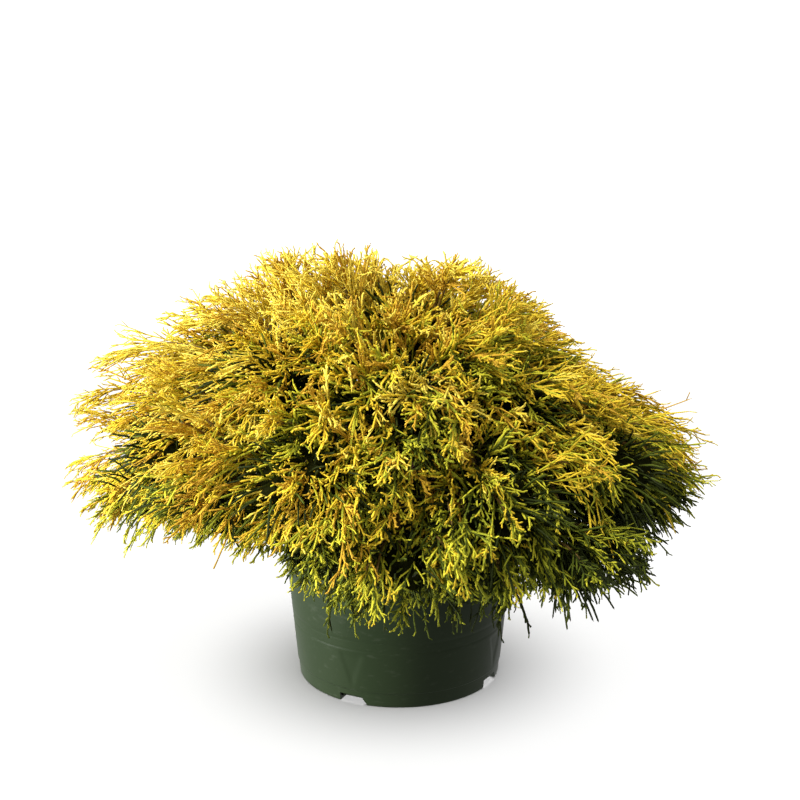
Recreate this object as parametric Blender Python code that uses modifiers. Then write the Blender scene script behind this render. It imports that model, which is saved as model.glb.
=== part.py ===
"""A potted golden mop sawara cypress: a weeping, thread-leaved dwarf conifer in a round nursery pot.

The pot is a thin turned shell with a rolled rim, a foot band and four drain notches. Potting mix fills it.
A short stem stands on the mix and carries 23 boughs in three whorls. Each bough ends at one mass of foliage,
and one more mass stands on the stem's tip, so that 24 masses close round the stem as a drooping mound.

Metres, +Z up. The origin is the centre of the pot's flat underside, and the front of the plant faces -Y.
"""

import math
import random

import bmesh
import bpy
from mathutils import Matrix, Vector

# The pot, a two-gallon nursery pot.
POT_HEIGHT = 0.222
FOOT_RADIUS = 0.0945
WALL_SLOPE = 0.090
WALL_THICKNESS = 0.0018
FLOOR_THICKNESS = 0.0025
FOOT_BAND_HEIGHT = 0.014
FOOT_STEP = 0.0008
RIB_HEIGHTS = (0.055, 0.064)
RIB_DEPTH = 0.0007
RIM_DEPTH = 0.014
RIM_PROUD = 0.0042
EDGE_ROUND = 0.001
POT_STEPS = 40

# The drain notches round the foot.
NOTCH_COUNT = 4
FIRST_NOTCH_DEG = 244.0
NOTCH_WIDTH = 0.028
NOTCH_HEIGHT = 0.008
NOTCH_DEPTH = 0.013

# The potting mix, and the stem that stands on it.
SEAT_GAP = 0.0003
SOIL_EDGE_HEIGHT = 0.199
SOIL_RISE = 0.006
STEM_HEIGHT = 0.088
STEM_LEAN = Vector((0.004, -0.002, 0.0))
STEM_SIDES = 10
# The stem's radius at shares of its height: the root flare, then a steady taper.
STEM_TAPER = (
    (0.0, 0.019), (0.03, 0.016), (0.11, 0.013), (0.25, 0.0115), (0.6, 0.0095), (0.82, 0.0075), (1.0, 0.005),
)

# The crown: a squarish dome over a drooping hem, wider than it is high.
CROWN_RADIUS = 0.318
CROWN_TOP_Z = 0.399
WIDEST_Z = 0.165
FRONT_LEFT_LIFT = 0.045
ROUNDNESS = 2.25
LEFT_FULLNESS = 0.60
RIGHT_HOLLOW = 0.90
DEPTH_LOSS = 0.12
HEM_DROP = 0.024
SIDE_DROP = 0.010
LOBE_DROP = 0.105
LOBE_DEG = -32.0
LOBE_WIDTH_DEG = 42.0
LUMP = 0.035

# The whorls: name, count, first azimuth, angle and share of a mass's centre on the crown,
# then the bough's height on the stem, and its tip's distance from the axis and height.
WHORLS = (
    ("shoulder", 7, 12.9, 48.0, 0.64, 0.070, 0.070, 0.300),
    ("flank", 8, 22.5, 17.0, 0.70, 0.048, 0.125, 0.262),
    ("skirt", 8, 0.0, -22.0, 0.76, 0.026, 0.150, 0.240),
)
WHORL_STAGGER = 0.007
TOP_CENTRE_SHARE = 0.70
BOUGH_RADIUS = 0.0036
BOUGH_TIP_RADIUS = 0.0022
BOUGH_STEPS = 3
BOUGH_SIDES = 6
COLLAR = 0.005
BOUGH_LIFT = 0.010

# The foliage: spindle-shaped leaders round a core, each with a side thread, all larger than life.
SEED = 7
TIP_COUNT = 232
TIP_CROWDING = 1.25
LOWEST_TIP_DEG = -38.0
HEART_PLACE = 0.12
CORE_SIZE = Vector((0.060, 0.060, 0.038))
CORE_SHARE = 0.84
CORE_ROOM = 0.008
CORE_GAP = 0.003
LEADER_START = 0.35
LEADER_RADII = (0.0040, 0.0066, 0.0050, 0.0010)
MITRE = 1.15
ARCH = 0.30
THREAD_PLACE = 0.60
THREAD_LENGTH = 0.034
THREAD_SPREAD_DEG = 36.0
THREAD_SAG = 0.12
THREAD_WIDTH = 0.0080
THREAD_THICKNESS = 0.0060
THREAD_WIDEST = 0.35
CLEARANCE = 0.0010
GROUND_CLEARANCE = 0.025
GOLDEN_ANGLE = math.pi * (3.0 - math.sqrt(5.0))
WELD = 0.00001
SHARP_EDGE_DEG = 35.0
UP = Vector((0.0, 0.0, 1.0))


class Mass:
    """One mass of foliage, with the bough that carries it and the stalk that it grows from."""

    def __init__(self, name, centre, bough_name=None, bough_path=None, tip=None, way=UP):
        self.name = name
        self.centre = centre
        self.bough_name = bough_name
        self.bough_path = bough_path
        root = tip + way * SEAT_GAP
        self.heart = centre.lerp(root, HEART_PLACE)
        collar = root + way * COLLAR
        control = collar + way * (self.heart - root).length * 0.4
        self.stalk = [root] + curve_points(collar, control, self.heart, 3)


def start_scene():
    """Clears the scene and returns the collections for the parts and for the cutters."""
    for obj in list(bpy.data.objects):
        bpy.data.objects.remove(obj)
    made = []
    for name in ("potted_cypress", "cutters"):
        collection = bpy.data.collections.new(name)
        bpy.context.scene.collection.children.link(collection)
        made.append(collection)
    made[1].hide_render = True
    return made


def material(name, colour, roughness):
    """A Principled material of one colour."""
    made = bpy.data.materials.new(name)
    made.use_nodes = True
    shader = made.node_tree.nodes["Principled BSDF"]
    shader.inputs["Base Color"].default_value = (*colour, 1.0)
    shader.inputs["Roughness"].default_value = roughness
    shader.inputs["Metallic"].default_value = 0.0
    return made


def add_object(name, data, collection, finish=None):
    """A new object in the collection, with its material if it has one."""
    obj = bpy.data.objects.new(name, data)
    collection.objects.link(obj)
    if finish is not None:
        data.materials.append(finish)
    return obj


def polar(radius, azimuth, height):
    """The point at that distance from the upright axis, azimuth in radians from +X towards +Y."""
    return Vector((radius * math.cos(azimuth), radius * math.sin(azimuth), height))


def curve_points(start, control, end, steps):
    """Points along the quadratic curve that leaves start towards control and ends at end."""
    shares = [step / steps for step in range(steps + 1)]
    return [start.lerp(control, share).lerp(control.lerp(end, share), share) for share in shares]


def along_path(path, share):
    """The point at that share of a path's steps, and the path's direction there."""
    place = share * (len(path) - 1)
    step = min(int(place), len(path) - 2)
    return path[step].lerp(path[step + 1], place - step), (path[step + 1] - path[step]).normalized()


def closeness(azimuth, centre_deg, width_deg):
    """1 at that azimuth, falling smoothly to 0 at the width to either side."""
    turn = azimuth - math.radians(centre_deg)
    away = abs(math.atan2(math.sin(turn), math.cos(turn)))
    return 0.5 + 0.5 * math.cos(math.pi * min(1.0, away / math.radians(width_deg)))


def wall_radius(height):
    """The pot wall's outer radius at a height above the foot band."""
    return FOOT_RADIUS + FOOT_STEP + WALL_SLOPE * height


def applied(obj):
    """A new mesh of the object as its modifiers or its curve settings shape it."""
    bpy.context.view_layer.update()
    mesh = bpy.data.meshes.new_from_object(obj.evaluated_get(bpy.context.evaluated_depsgraph_get()))
    mesh.materials.clear()
    return mesh


def shade_round(mesh):
    """Shades the mesh smooth, apart from its sharp edges."""
    mesh.shade_smooth()
    mesh.set_sharp_from_angle(angle=math.radians(SHARP_EDGE_DEG))


def turned(name, profile, collection, finish):
    """A closed body turned about Z from a profile that starts and ends on the axis and runs down outside."""
    outline = bpy.data.meshes.new("outline")
    edges = [(i, i + 1) for i in range(len(profile) - 1)]
    outline.from_pydata([(radius, 0.0, height) for radius, height in profile], edges, [])
    guide = add_object("guide", outline, collection)
    screw = guide.modifiers.new("turn", "SCREW")
    screw.angle = 2.0 * math.pi
    screw.steps = POT_STEPS
    screw.render_steps = POT_STEPS
    screw.use_merge_vertices = True
    screw.merge_threshold = WELD
    mesh = applied(guide)
    bpy.data.objects.remove(guide)
    shade_round(mesh)
    return add_object(name, mesh, collection, finish)


def pot_profile():
    """The pot's half section: inner floor and wall, rolled rim, outer wall with its groove, and foot."""
    inner = WALL_THICKNESS
    rim_under = POT_HEIGHT - RIM_DEPTH
    low, high = RIB_HEIGHTS
    return [
        (0.0, FLOOR_THICKNESS),
        (wall_radius(FLOOR_THICKNESS) - FOOT_STEP - inner, FLOOR_THICKNESS),
        (wall_radius(rim_under) - inner, rim_under),
        (wall_radius(POT_HEIGHT) - inner, POT_HEIGHT - EDGE_ROUND),
        (wall_radius(POT_HEIGHT), POT_HEIGHT),
        (wall_radius(POT_HEIGHT) + RIM_PROUD - EDGE_ROUND, POT_HEIGHT - EDGE_ROUND),
        (wall_radius(POT_HEIGHT) + RIM_PROUD, POT_HEIGHT - 4.0 * EDGE_ROUND),
        (wall_radius(rim_under) + RIM_PROUD - EDGE_ROUND, rim_under),
        (wall_radius(rim_under), rim_under + EDGE_ROUND),
        (wall_radius(high + EDGE_ROUND), high + EDGE_ROUND),
        (wall_radius(high) - RIB_DEPTH, high),
        (wall_radius(low) - RIB_DEPTH, low),
        (wall_radius(low - EDGE_ROUND), low - EDGE_ROUND),
        (wall_radius(FOOT_BAND_HEIGHT), FOOT_BAND_HEIGHT),
        (wall_radius(FOOT_BAND_HEIGHT) - FOOT_STEP, FOOT_BAND_HEIGHT - EDGE_ROUND),
        (FOOT_RADIUS + 0.4 * EDGE_ROUND, EDGE_ROUND),
        (FOOT_RADIUS - 0.6 * EDGE_ROUND, 0.0),
        (0.0, 0.0),
    ]


def make_pot(parts, cutters):
    """The turned pot, with a notch cut through wall and floor at each drain."""
    pot = turned("pot", pot_profile(), parts, material("pot_plastic", (0.035, 0.060, 0.040), 0.42))
    for index in range(NOTCH_COUNT):
        azimuth = math.radians(FIRST_NOTCH_DEG) + index * 2.0 * math.pi / NOTCH_COUNT
        place = Matrix.Translation(polar(FOOT_RADIUS, azimuth, 0.0)) @ Matrix.Rotation(azimuth, 4, "Z")
        size = Matrix.Diagonal((2.0 * NOTCH_DEPTH, NOTCH_WIDTH, 2.0 * NOTCH_HEIGHT, 1.0))
        shape = bmesh.new()
        bmesh.ops.create_cube(shape, size=1.0, matrix=place @ size)
        mesh = bpy.data.meshes.new(f"notch_cutter_{index + 1}")
        shape.to_mesh(mesh)
        shape.free()
        cutter = add_object(mesh.name, mesh, cutters)
        cutter.hide_render = True
        cutter.display_type = "WIRE"
        cut = pot.modifiers.new(f"notch_{index + 1}", "BOOLEAN")
        cut.operation = "DIFFERENCE"
        cut.object = cutter


def make_soil(parts):
    """The potting mix: it fills the pot to below the rim and rises a little to the stem."""
    clear = WALL_THICKNESS + SEAT_GAP
    floor = FLOOR_THICKNESS + SEAT_GAP
    top = SOIL_EDGE_HEIGHT + SOIL_RISE
    edge = wall_radius(SOIL_EDGE_HEIGHT)
    profile = [
        (0.0, top),
        (0.20 * edge, top),
        (0.55 * edge, top - 0.35 * SOIL_RISE),
        (0.80 * edge, top - 0.80 * SOIL_RISE),
        (edge - clear, SOIL_EDGE_HEIGHT),
        (wall_radius(floor) - FOOT_STEP - clear, floor),
        (0.0, floor),
    ]
    turned("soil", profile, parts, material("potting_mix", (0.060, 0.038, 0.024), 0.95))


def triangle_section(collection):
    """A three-cornered section for curves, in a hidden guide object."""
    section = bpy.data.curves.new("section", "CURVE")
    ring = section.splines.new("POLY")
    ring.points.add(2)
    ring.use_cyclic_u = True
    for index, point in enumerate(ring.points):
        turn = -2.0 * math.pi * index / 3.0
        point.co = (math.cos(turn), math.sin(turn), 0.0, 1.0)
    return add_object("section", section, collection)


def tube(name, points, radii, sides, collection, finish=None):
    """A tapering limb along the points, three-cornered or round, as a curve made into a closed mesh."""
    curve = bpy.data.curves.new(name, "CURVE")
    curve.dimensions = "3D"
    curve.use_fill_caps = True
    curve.twist_mode = "MINIMUM"
    guides = [add_object("guide", curve, collection)]
    if sides == 3:
        guides.append(triangle_section(collection))
        curve.bevel_mode = "OBJECT"
        curve.bevel_object = guides[-1]
    else:
        curve.bevel_depth = 1.0
        curve.bevel_resolution = sides // 2 - 2
    spline = curve.splines.new("POLY")
    spline.points.add(len(points) - 1)
    for spot, place, radius in zip(spline.points, points, radii):
        spot.co = (*place, 1.0)
        spot.radius = radius
    mesh = applied(guides[0])
    shape = bmesh.new()
    shape.from_mesh(mesh)
    bmesh.ops.remove_doubles(shape, verts=shape.verts, dist=WELD)
    bmesh.ops.recalc_face_normals(shape, faces=shape.faces)
    shape.to_mesh(mesh)
    shape.free()
    for guide in guides:
        bpy.data.objects.remove(guide)
    shade_round(mesh)
    return add_object(name, mesh, collection, finish)


def stem_path():
    """The stem's centre line and radii, with a slight lean above the flare."""
    foot = SOIL_EDGE_HEIGHT + SOIL_RISE + SEAT_GAP
    flare_share = STEM_TAPER[1][0]
    points = []
    for share, radius in STEM_TAPER:
        lean = STEM_LEAN * max(0.0, share - flare_share)
        points.append(Vector((0.0, 0.0, foot + share * STEM_HEIGHT)) + lean)
    return points, [radius for share, radius in STEM_TAPER]


def on_stem(rise):
    """The stem's centre and radius at a height above its foot."""
    points, radii = stem_path()
    height = points[0].z + rise
    for low, high, thick, thin in zip(points, points[1:], radii, radii[1:]):
        if height <= high.z:
            share = (height - low.z) / (high.z - low.z)
            return low.lerp(high, share), thick + (thin - thick) * share
    return points[-1], radii[-1]


def crown_power(azimuth):
    """The crown's squareness there: 2 is a round dome, more is fuller at the shoulder, less is hollower."""
    full = LEFT_FULLNESS * closeness(azimuth, 165.0, 100.0)
    return ROUNDNESS + full - RIGHT_HOLLOW * closeness(azimuth, 20.0, 95.0)


def widest_level(azimuth):
    """The height at which the crown is widest: more at the front left, where the hem is high."""
    return WIDEST_Z + FRONT_LEFT_LIFT * closeness(azimuth, 230.0, 55.0)


def hem_drop(azimuth):
    """How far the hem hangs below the crown's widest level: furthest in the lobe at the front right."""
    sides = SIDE_DROP * math.cos(2.0 * azimuth)
    return HEM_DROP + sides + LOBE_DROP * closeness(azimuth, LOBE_DEG, LOBE_WIDTH_DEG)


def crown_depth(azimuth, up):
    """How far the crown goes up from its widest level, or down where up isn't above 0."""
    return CROWN_TOP_Z - widest_level(azimuth) if up > 0.0 else hem_drop(azimuth)


def crown_reach(azimuth, angle):
    """The crown's size there, about 1: a little less from front to back, with lumps that stand out or in."""
    lumps = LUMP * math.sin(3.0 * azimuth + 0.6) * math.cos(angle)
    lumps += 0.6 * LUMP * math.sin(5.0 * azimuth + 4.0 * angle)
    return 1.0 - DEPTH_LOSS * math.sin(azimuth) ** 2 * math.cos(angle) ** 2 + lumps


def crown_share(point):
    """The point's share of the way from the crown's middle to its surface."""
    azimuth = math.atan2(point.y, point.x)
    power = crown_power(azimuth)
    up = point.z - widest_level(azimuth)
    out = (math.hypot(point.x, point.y) / CROWN_RADIUS) ** power
    rise = (abs(up) / crown_depth(azimuth, up)) ** power
    angle = math.copysign(math.atan2(math.sqrt(rise), math.sqrt(out)), up)
    return (out + rise) ** (1.0 / power) / crown_reach(azimuth, angle)


def crown_point(azimuth, angle, share=1.0):
    """A point on the crown: azimuth round the stem, and angle up the dome or, below 0, down the hem."""
    middle = Vector((0.0, 0.0, widest_level(azimuth)))
    way = polar(CROWN_RADIUS * math.cos(angle), azimuth, crown_depth(azimuth, angle) * math.sin(angle))
    return middle + way * share / crown_share(middle + way)


def crown_tips():
    """The tips of all leaders, spread over the crown by the golden angle, a little closer at its top."""
    bottom = math.sin(math.radians(LOWEST_TIP_DEG))
    shares = [((index + 0.5) / TIP_COUNT) ** TIP_CROWDING for index in range(TIP_COUNT)]
    heights = [1.0 + (bottom - 1.0) * share for share in shares]
    return [crown_point(index * GOLDEN_ANGLE, math.asin(height)) for index, height in enumerate(heights)]


def plan_masses():
    """The masses on the stem's tip and on the boughs of each whorl."""
    top = crown_point(0.0, math.pi / 2.0, TOP_CENTRE_SHARE)
    masses = [Mass("foliage_top", top, tip=stem_path()[0][-1])]
    for whorl, count, first_deg, angle_deg, share, rise, tip_radius, tip_height in WHORLS:
        for index in range(count):
            azimuth = math.radians(first_deg + 360.0 * index / count)
            centre = crown_point(azimuth, math.radians(angle_deg), share)
            height = rise + WHORL_STAGGER * (index % 2)
            stem_radius = on_stem(height - BOUGH_RADIUS)[1]
            start = on_stem(height)[0] + polar(stem_radius + SEAT_GAP, azimuth, 0.0)
            collar = start + polar(COLLAR, azimuth, 0.0)
            tip = polar(tip_radius, azimuth, tip_height)
            control = collar.lerp(tip, 0.5) + UP * BOUGH_LIFT
            path = [start] + curve_points(collar, control, tip, BOUGH_STEPS)
            number = f"{whorl}_{index + 1}"
            way = (path[-1] - path[-2]).normalized()
            masses.append(Mass(f"foliage_{number}", centre, f"bough_{number}", path, tip, way))
    return masses


def bough_radii(path):
    """The radius at each point of a bough, tapering from the stem to its tip."""
    last = len(path) - 1
    return [BOUGH_RADIUS + (BOUGH_TIP_RADIUS - BOUGH_RADIUS) * index / last for index in range(len(path))]


def limb_stretches(masses):
    """Every straight stretch of the stem, boughs and stalks: start, end, greatest radius and its own mass."""
    points, radii = stem_path()
    found = [(low, high, radius, None) for low, high, radius in zip(points, points[1:], radii)]
    for mass in masses:
        if mass.bough_path:
            path, radii = mass.bough_path, bough_radii(mass.bough_path)
            found += [(low, high, radius, None) for low, high, radius in zip(path, path[1:], radii)]
        found += [(low, high, BOUGH_TIP_RADIUS, mass) for low, high in zip(mass.stalk, mass.stalk[1:])]
    return found


def distance_to_stretch(point, start, end):
    """The distance from a point to the straight stretch from start to end."""
    along = end - start
    share = max(0.0, min(1.0, (point - start).dot(along) / along.length_squared))
    return (point - start - along * share).length


def clear_of_pot(point, radius):
    """True where a ball of that radius is outside the pot and well above the ground."""
    if point.z - radius < GROUND_CLEARANCE:
        return False
    if point.z - radius > POT_HEIGHT + CLEARANCE:
        return True
    return math.hypot(point.x, point.y) - radius > wall_radius(point.z) + RIM_PROUD + CLEARANCE


def in_own_space(point, radius, mass, masses):
    """True where a ball of that radius is nearer to this mass's centre than to any other's."""
    for other in masses:
        if other is mass:
            continue
        across = other.centre - mass.centre
        middle = (other.centre + mass.centre) / 2.0
        if (middle - point).dot(across) / across.length < radius + CLEARANCE:
            return False
    return True


class Crown:
    """The masses and limbs that each piece of foliage has to keep clear of."""

    def __init__(self, masses):
        self.masses = masses
        self.limbs = limb_stretches(masses)

    def fits(self, points, radius, mass, room=CLEARANCE):
        """True where a run of balls is in the mass's own space, clear of the pot and of all limbs."""
        for point in points:
            if not in_own_space(point, radius, mass, self.masses) or not clear_of_pot(point, radius):
                return False
            for start, end, thick, owner in self.limbs:
                if owner is not mass and distance_to_stretch(point, start, end) < radius + thick + room:
                    return False
        return True

    def core_point(self, mass, way):
        """The core's furthest point along a way from the heart, short of the crown's surface and limbs."""
        way = Vector(part * size for part, size in zip(way, CORE_SIZE))
        size = 1.0
        while size > 0.05:
            run = [mass.heart + way * size * share for share in (0.25, 0.5, 0.75, 1.0)]
            if crown_share(run[-1]) < CORE_SHARE and self.fits(run, CORE_GAP, mass, CORE_ROOM):
                break
            size *= 0.94
        return mass.heart + way * size

    def nearest_mass(self, point):
        """The mass whose space holds the point."""
        return min(self.masses, key=lambda mass: (mass.centre - point).length)


def make_core(mass, crown, collection, chance):
    """The mass's dense heart: a lumpy ball."""
    mesh = bpy.data.meshes.new("core")
    shape = bmesh.new()
    bmesh.ops.create_icosphere(shape, subdivisions=2, radius=1.0)
    for corner in shape.verts:
        corner.co = mass.heart.lerp(crown.core_point(mass, corner.co), chance.uniform(0.82, 1.0))
    shape.to_mesh(mesh)
    shape.free()
    add_object("core", mesh, collection)


def make_thread(root, way, length, collection):
    """A side thread: a slim spindle of eight faces, widest near its root."""
    mesh = bpy.data.meshes.new("thread")
    shape = bmesh.new()
    bmesh.ops.create_uvsphere(shape, u_segments=4, v_segments=2, radius=1.0)
    turn = way.to_track_quat("Z", "Y").to_matrix()
    for corner in shape.verts:
        share = round(0.5 + 0.5 * corner.co.z, 3)
        along = THREAD_WIDEST if share == 0.5 else share
        wide, thick = corner.co.x * THREAD_WIDTH / 2.0, corner.co.y * THREAD_THICKNESS / 2.0
        corner.co = root + turn @ Vector((wide, thick, along * length))
    shape.to_mesh(mesh)
    shape.free()
    add_object("thread", mesh, collection)


def leader_path(start, tip):
    """A leader's way out: it rises over the straight line to its tip and droops at the end."""
    control = start.lerp(tip, 0.55) + UP * ARCH * (tip - start).length
    return curve_points(start, control, tip, len(LEADER_RADII) - 1)


def grow_leader(mass, tip, crown, collection):
    """A leader from the core to the tip, or as near it as fits. Its path, or None where nothing fits."""
    start = mass.heart.lerp(crown.core_point(mass, (tip - mass.heart).normalized()), LEADER_START)
    for shortening in range(6):
        path = leader_path(start, start.lerp(tip, 1.0 - 0.07 * shortening))
        spots = [along_path(path, index / 16.0)[0] for index in range(17)]
        if crown.fits(spots, MITRE * max(LEADER_RADII), mass):
            tube("leader", path, LEADER_RADII, 3, collection)
            return path
    return None


def grow_side_thread(mass, path, side_sign, crown, collection, chance):
    """A thread that leaves the leader to one side and sags a little, where it fits."""
    root, along = along_path(path, THREAD_PLACE + chance.uniform(-0.08, 0.08))
    side = along.cross(UP + Vector((chance.uniform(-0.4, 0.4), chance.uniform(-0.4, 0.4), 0.0))).normalized()
    spread = math.radians(THREAD_SPREAD_DEG + chance.uniform(-8.0, 8.0))
    way = along * math.cos(spread) + side * side_sign * math.sin(spread) - UP * THREAD_SAG
    way.normalize()
    length = THREAD_LENGTH * chance.uniform(0.85, 1.15)
    run = [root + way * length * index / 5.0 for index in range(1, 6)]
    if crown.fits(run, THREAD_WIDTH / 2.0, mass):
        make_thread(root, way, length, collection)


def grow_mass(mass, tips, crown, finish, parts, chance):
    """One mass of foliage: its stalk, core, leaders and side threads, joined into one closed mesh."""
    growing = bpy.data.collections.new("growing")
    bpy.context.scene.collection.children.link(growing)
    tube("stalk", mass.stalk, [BOUGH_TIP_RADIUS] * len(mass.stalk), 3, growing)
    make_core(mass, crown, growing, chance)
    side_sign = 1.0
    for tip in tips:
        path = grow_leader(mass, tip, crown, growing)
        if path:
            grow_side_thread(mass, path, side_sign, crown, growing, chance)
            side_sign = -side_sign
    mesh = joined(growing)
    mesh.name = mass.name
    add_object(mass.name, mesh, parts, finish)


def joined(growing):
    """One Boolean union of all that grew, as a mesh. The collection and its objects are removed."""
    pieces = list(growing.objects)
    stalk = pieces[0]
    growing.objects.unlink(stalk)
    bpy.context.scene.collection.objects.link(stalk)
    union = stalk.modifiers.new("join", "BOOLEAN")
    union.operation = "UNION"
    union.operand_type = "COLLECTION"
    union.collection = growing
    union.solver = "MANIFOLD"
    mesh = applied(stalk)
    for piece in pieces:
        bpy.data.objects.remove(piece)
    bpy.data.collections.remove(growing)
    keep_largest_island(mesh)
    return mesh


def keep_largest_island(mesh):
    """Leaves the mesh's largest island: this drops loose scraps, and fills hollows that the union sealed."""
    shape = bmesh.new()
    shape.from_mesh(mesh)
    bmesh.ops.triangulate(shape, faces=shape.faces)
    bmesh.ops.dissolve_degenerate(shape, dist=2.0 * WELD, edges=shape.edges)
    bmesh.ops.triangulate(shape, faces=shape.faces)
    left, islands = set(shape.faces), []
    while left:
        island = {left.pop()}
        front = list(island)
        while front:
            near = {face for edge in front.pop().edges for face in edge.link_faces} & left
            left -= near
            island |= near
            front += near
        islands.append(island)
    biggest = max(islands, key=len)
    loose = [face for island in islands if island is not biggest for face in island]
    bmesh.ops.delete(shape, geom=loose, context="FACES")
    shape.to_mesh(mesh)
    shape.free()


def make_plant(parts):
    """The stem, the boughs and the masses of foliage."""
    bark = material("bark", (0.150, 0.080, 0.045), 0.85)
    gold = material("gold_foliage", (0.62, 0.50, 0.07), 0.6)
    green = material("green_foliage", (0.20, 0.27, 0.04), 0.6)
    points, radii = stem_path()
    tube("stem", points, radii, STEM_SIDES, parts, bark)
    crown = Crown(plan_masses())
    tips = [(tip, crown.nearest_mass(tip)) for tip in crown_tips()]
    for index, mass in enumerate(crown.masses):
        if mass.bough_path:
            tube(mass.bough_name, mass.bough_path, bough_radii(mass.bough_path), BOUGH_SIDES, parts, bark)
        own_tips = [tip for tip, owner in tips if owner is mass]
        finish = green if "skirt" in mass.name else gold
        grow_mass(mass, own_tips, crown, finish, parts, random.Random(SEED + index))


def main():
    parts, cutters = start_scene()
    make_pot(parts, cutters)
    make_soil(parts)
    make_plant(parts)


main()
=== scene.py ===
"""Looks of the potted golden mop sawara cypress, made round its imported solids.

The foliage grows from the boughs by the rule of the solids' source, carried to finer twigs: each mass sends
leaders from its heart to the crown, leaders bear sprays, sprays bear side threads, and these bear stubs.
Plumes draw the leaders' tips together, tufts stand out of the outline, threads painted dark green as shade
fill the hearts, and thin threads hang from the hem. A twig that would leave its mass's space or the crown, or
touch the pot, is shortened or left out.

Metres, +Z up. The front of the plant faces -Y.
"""

import math
from collections import namedtuple

import bpy
import numpy as np
from mathutils import Matrix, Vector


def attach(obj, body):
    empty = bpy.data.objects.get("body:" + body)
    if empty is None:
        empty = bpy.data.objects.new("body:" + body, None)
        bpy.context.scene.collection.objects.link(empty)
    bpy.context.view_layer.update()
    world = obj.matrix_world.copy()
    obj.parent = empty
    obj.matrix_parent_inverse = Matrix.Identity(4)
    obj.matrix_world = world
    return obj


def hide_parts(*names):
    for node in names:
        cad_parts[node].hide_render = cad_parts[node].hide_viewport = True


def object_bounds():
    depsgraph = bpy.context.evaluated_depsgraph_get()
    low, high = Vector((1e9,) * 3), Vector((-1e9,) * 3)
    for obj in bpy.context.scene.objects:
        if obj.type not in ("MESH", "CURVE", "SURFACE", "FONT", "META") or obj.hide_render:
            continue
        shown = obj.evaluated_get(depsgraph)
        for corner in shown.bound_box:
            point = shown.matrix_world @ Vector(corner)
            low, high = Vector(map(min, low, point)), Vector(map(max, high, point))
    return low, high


# The photograph's camera.
CAMERA_PLACE = (0.0008, -1.45, 0.66)
CAMERA_PITCH_DEG = -15.33
CAMERA_LENS = 73.8
CAMERA_SENSOR = 36.0

# The pot.
POT_HEIGHT = 0.222
FOOT_RADIUS = 0.0945
WALL_SLOPE = 0.090
WALL_THICKNESS = 0.0018
FLOOR_THICKNESS = 0.0025
FOOT_BAND_HEIGHT = 0.014
FOOT_STEP = 0.0008
RIB_HEIGHTS = (0.055, 0.064)
RIB_DEPTH = 0.0007
RIM_DEPTH = 0.014
RIM_PROUD = 0.0042
LIP_ROUND = 0.001
RIM_ROUND = 0.0015
NOTCH_COUNT = 4
FIRST_NOTCH_DEG = 244.0
NOTCH_WIDTH = 0.028
NOTCH_HEIGHT = 0.008
NOTCH_DEPTH = 0.013
RECESS_DEPTH = 0.0007
RECESS_WIDTH = 0.027
RECESS_TOP = 0.052
RECESS_EDGE = 0.0035
POT_STEPS = 288
SHARP_DEG = 32.0

# The potting mix and the stem.
SEAT_GAP = 0.0003
SOIL_EDGE_HEIGHT = 0.199
SOIL_RISE = 0.006
SOIL_PROFILE = ((0.0, 0.2, 0.55, 0.8, 1.0), (1.0, 1.0, 0.65, 0.2, 0.0))
SOIL_FOOT_HEIGHT = 0.020
SOIL_FOOT_RADIUS = 0.074
SOIL_STEPS = 120
CHIP_COUNT = 900
CHIP_ROOM = 0.004
CHIP_SIZES = (0.0012, 0.0046)
CHIP_SHAPES = ((0.8, 0.4, 0.25), (1.6, 1.0, 0.6))
STEM_HEIGHT = 0.088
STEM_LEAN = np.array((0.004, -0.002, 0.0))
STEM_TAPER = (
    (0.0, 0.019), (0.03, 0.016), (0.11, 0.013), (0.25, 0.0115), (0.6, 0.0095), (0.82, 0.0075), (1.0, 0.005),
)

# The crown.
CROWN_RADIUS = 0.318
CROWN_TOP_Z = 0.399
WIDEST_Z = 0.165
FRONT_LEFT_LIFT = 0.045
ROUNDNESS = 2.25
LEFT_FULLNESS = 0.60
RIGHT_HOLLOW = 0.90
DEPTH_LOSS = 0.12
HEM_DROP = 0.024
SIDE_DROP = 0.010
LOBE_DROP = 0.105
LOBE_DEG = -32.0
LOBE_WIDTH_DEG = 42.0
LUMP = 0.035

# The whorls, as in the solids' source: name, count, first azimuth, angle and share of a mass's centre on
# the crown, then the bough's height on the stem, and its tip's distance from the axis and height.
WHORLS = (
    ("shoulder", 7, 12.9, 48.0, 0.64, 0.070, 0.070, 0.300),
    ("flank", 8, 22.5, 17.0, 0.70, 0.048, 0.125, 0.262),
    ("skirt", 8, 0.0, -22.0, 0.76, 0.026, 0.150, 0.240),
)
WHORL_STAGGER = 0.007
TOP_CENTRE_SHARE = 0.70
BOUGH_RADIUS = 0.0036
BOUGH_TIP_RADIUS = 0.0022
COLLAR = 0.005
BOUGH_LIFT = 0.010
HEART_PLACE = 0.12
CORE_SIZE = np.array((0.060, 0.060, 0.038))
CORE_SHARE = 0.62
SKIRT_CORE = 0.6
CORE_WAVES = (7.0, 8.0, 9.0)

# The seeds: of the chips, the bark and the hearts, of the crown, and of the tufts.
SEED = 11
CROWN_SEED = 80
TUFT_SEED = 22

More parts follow.
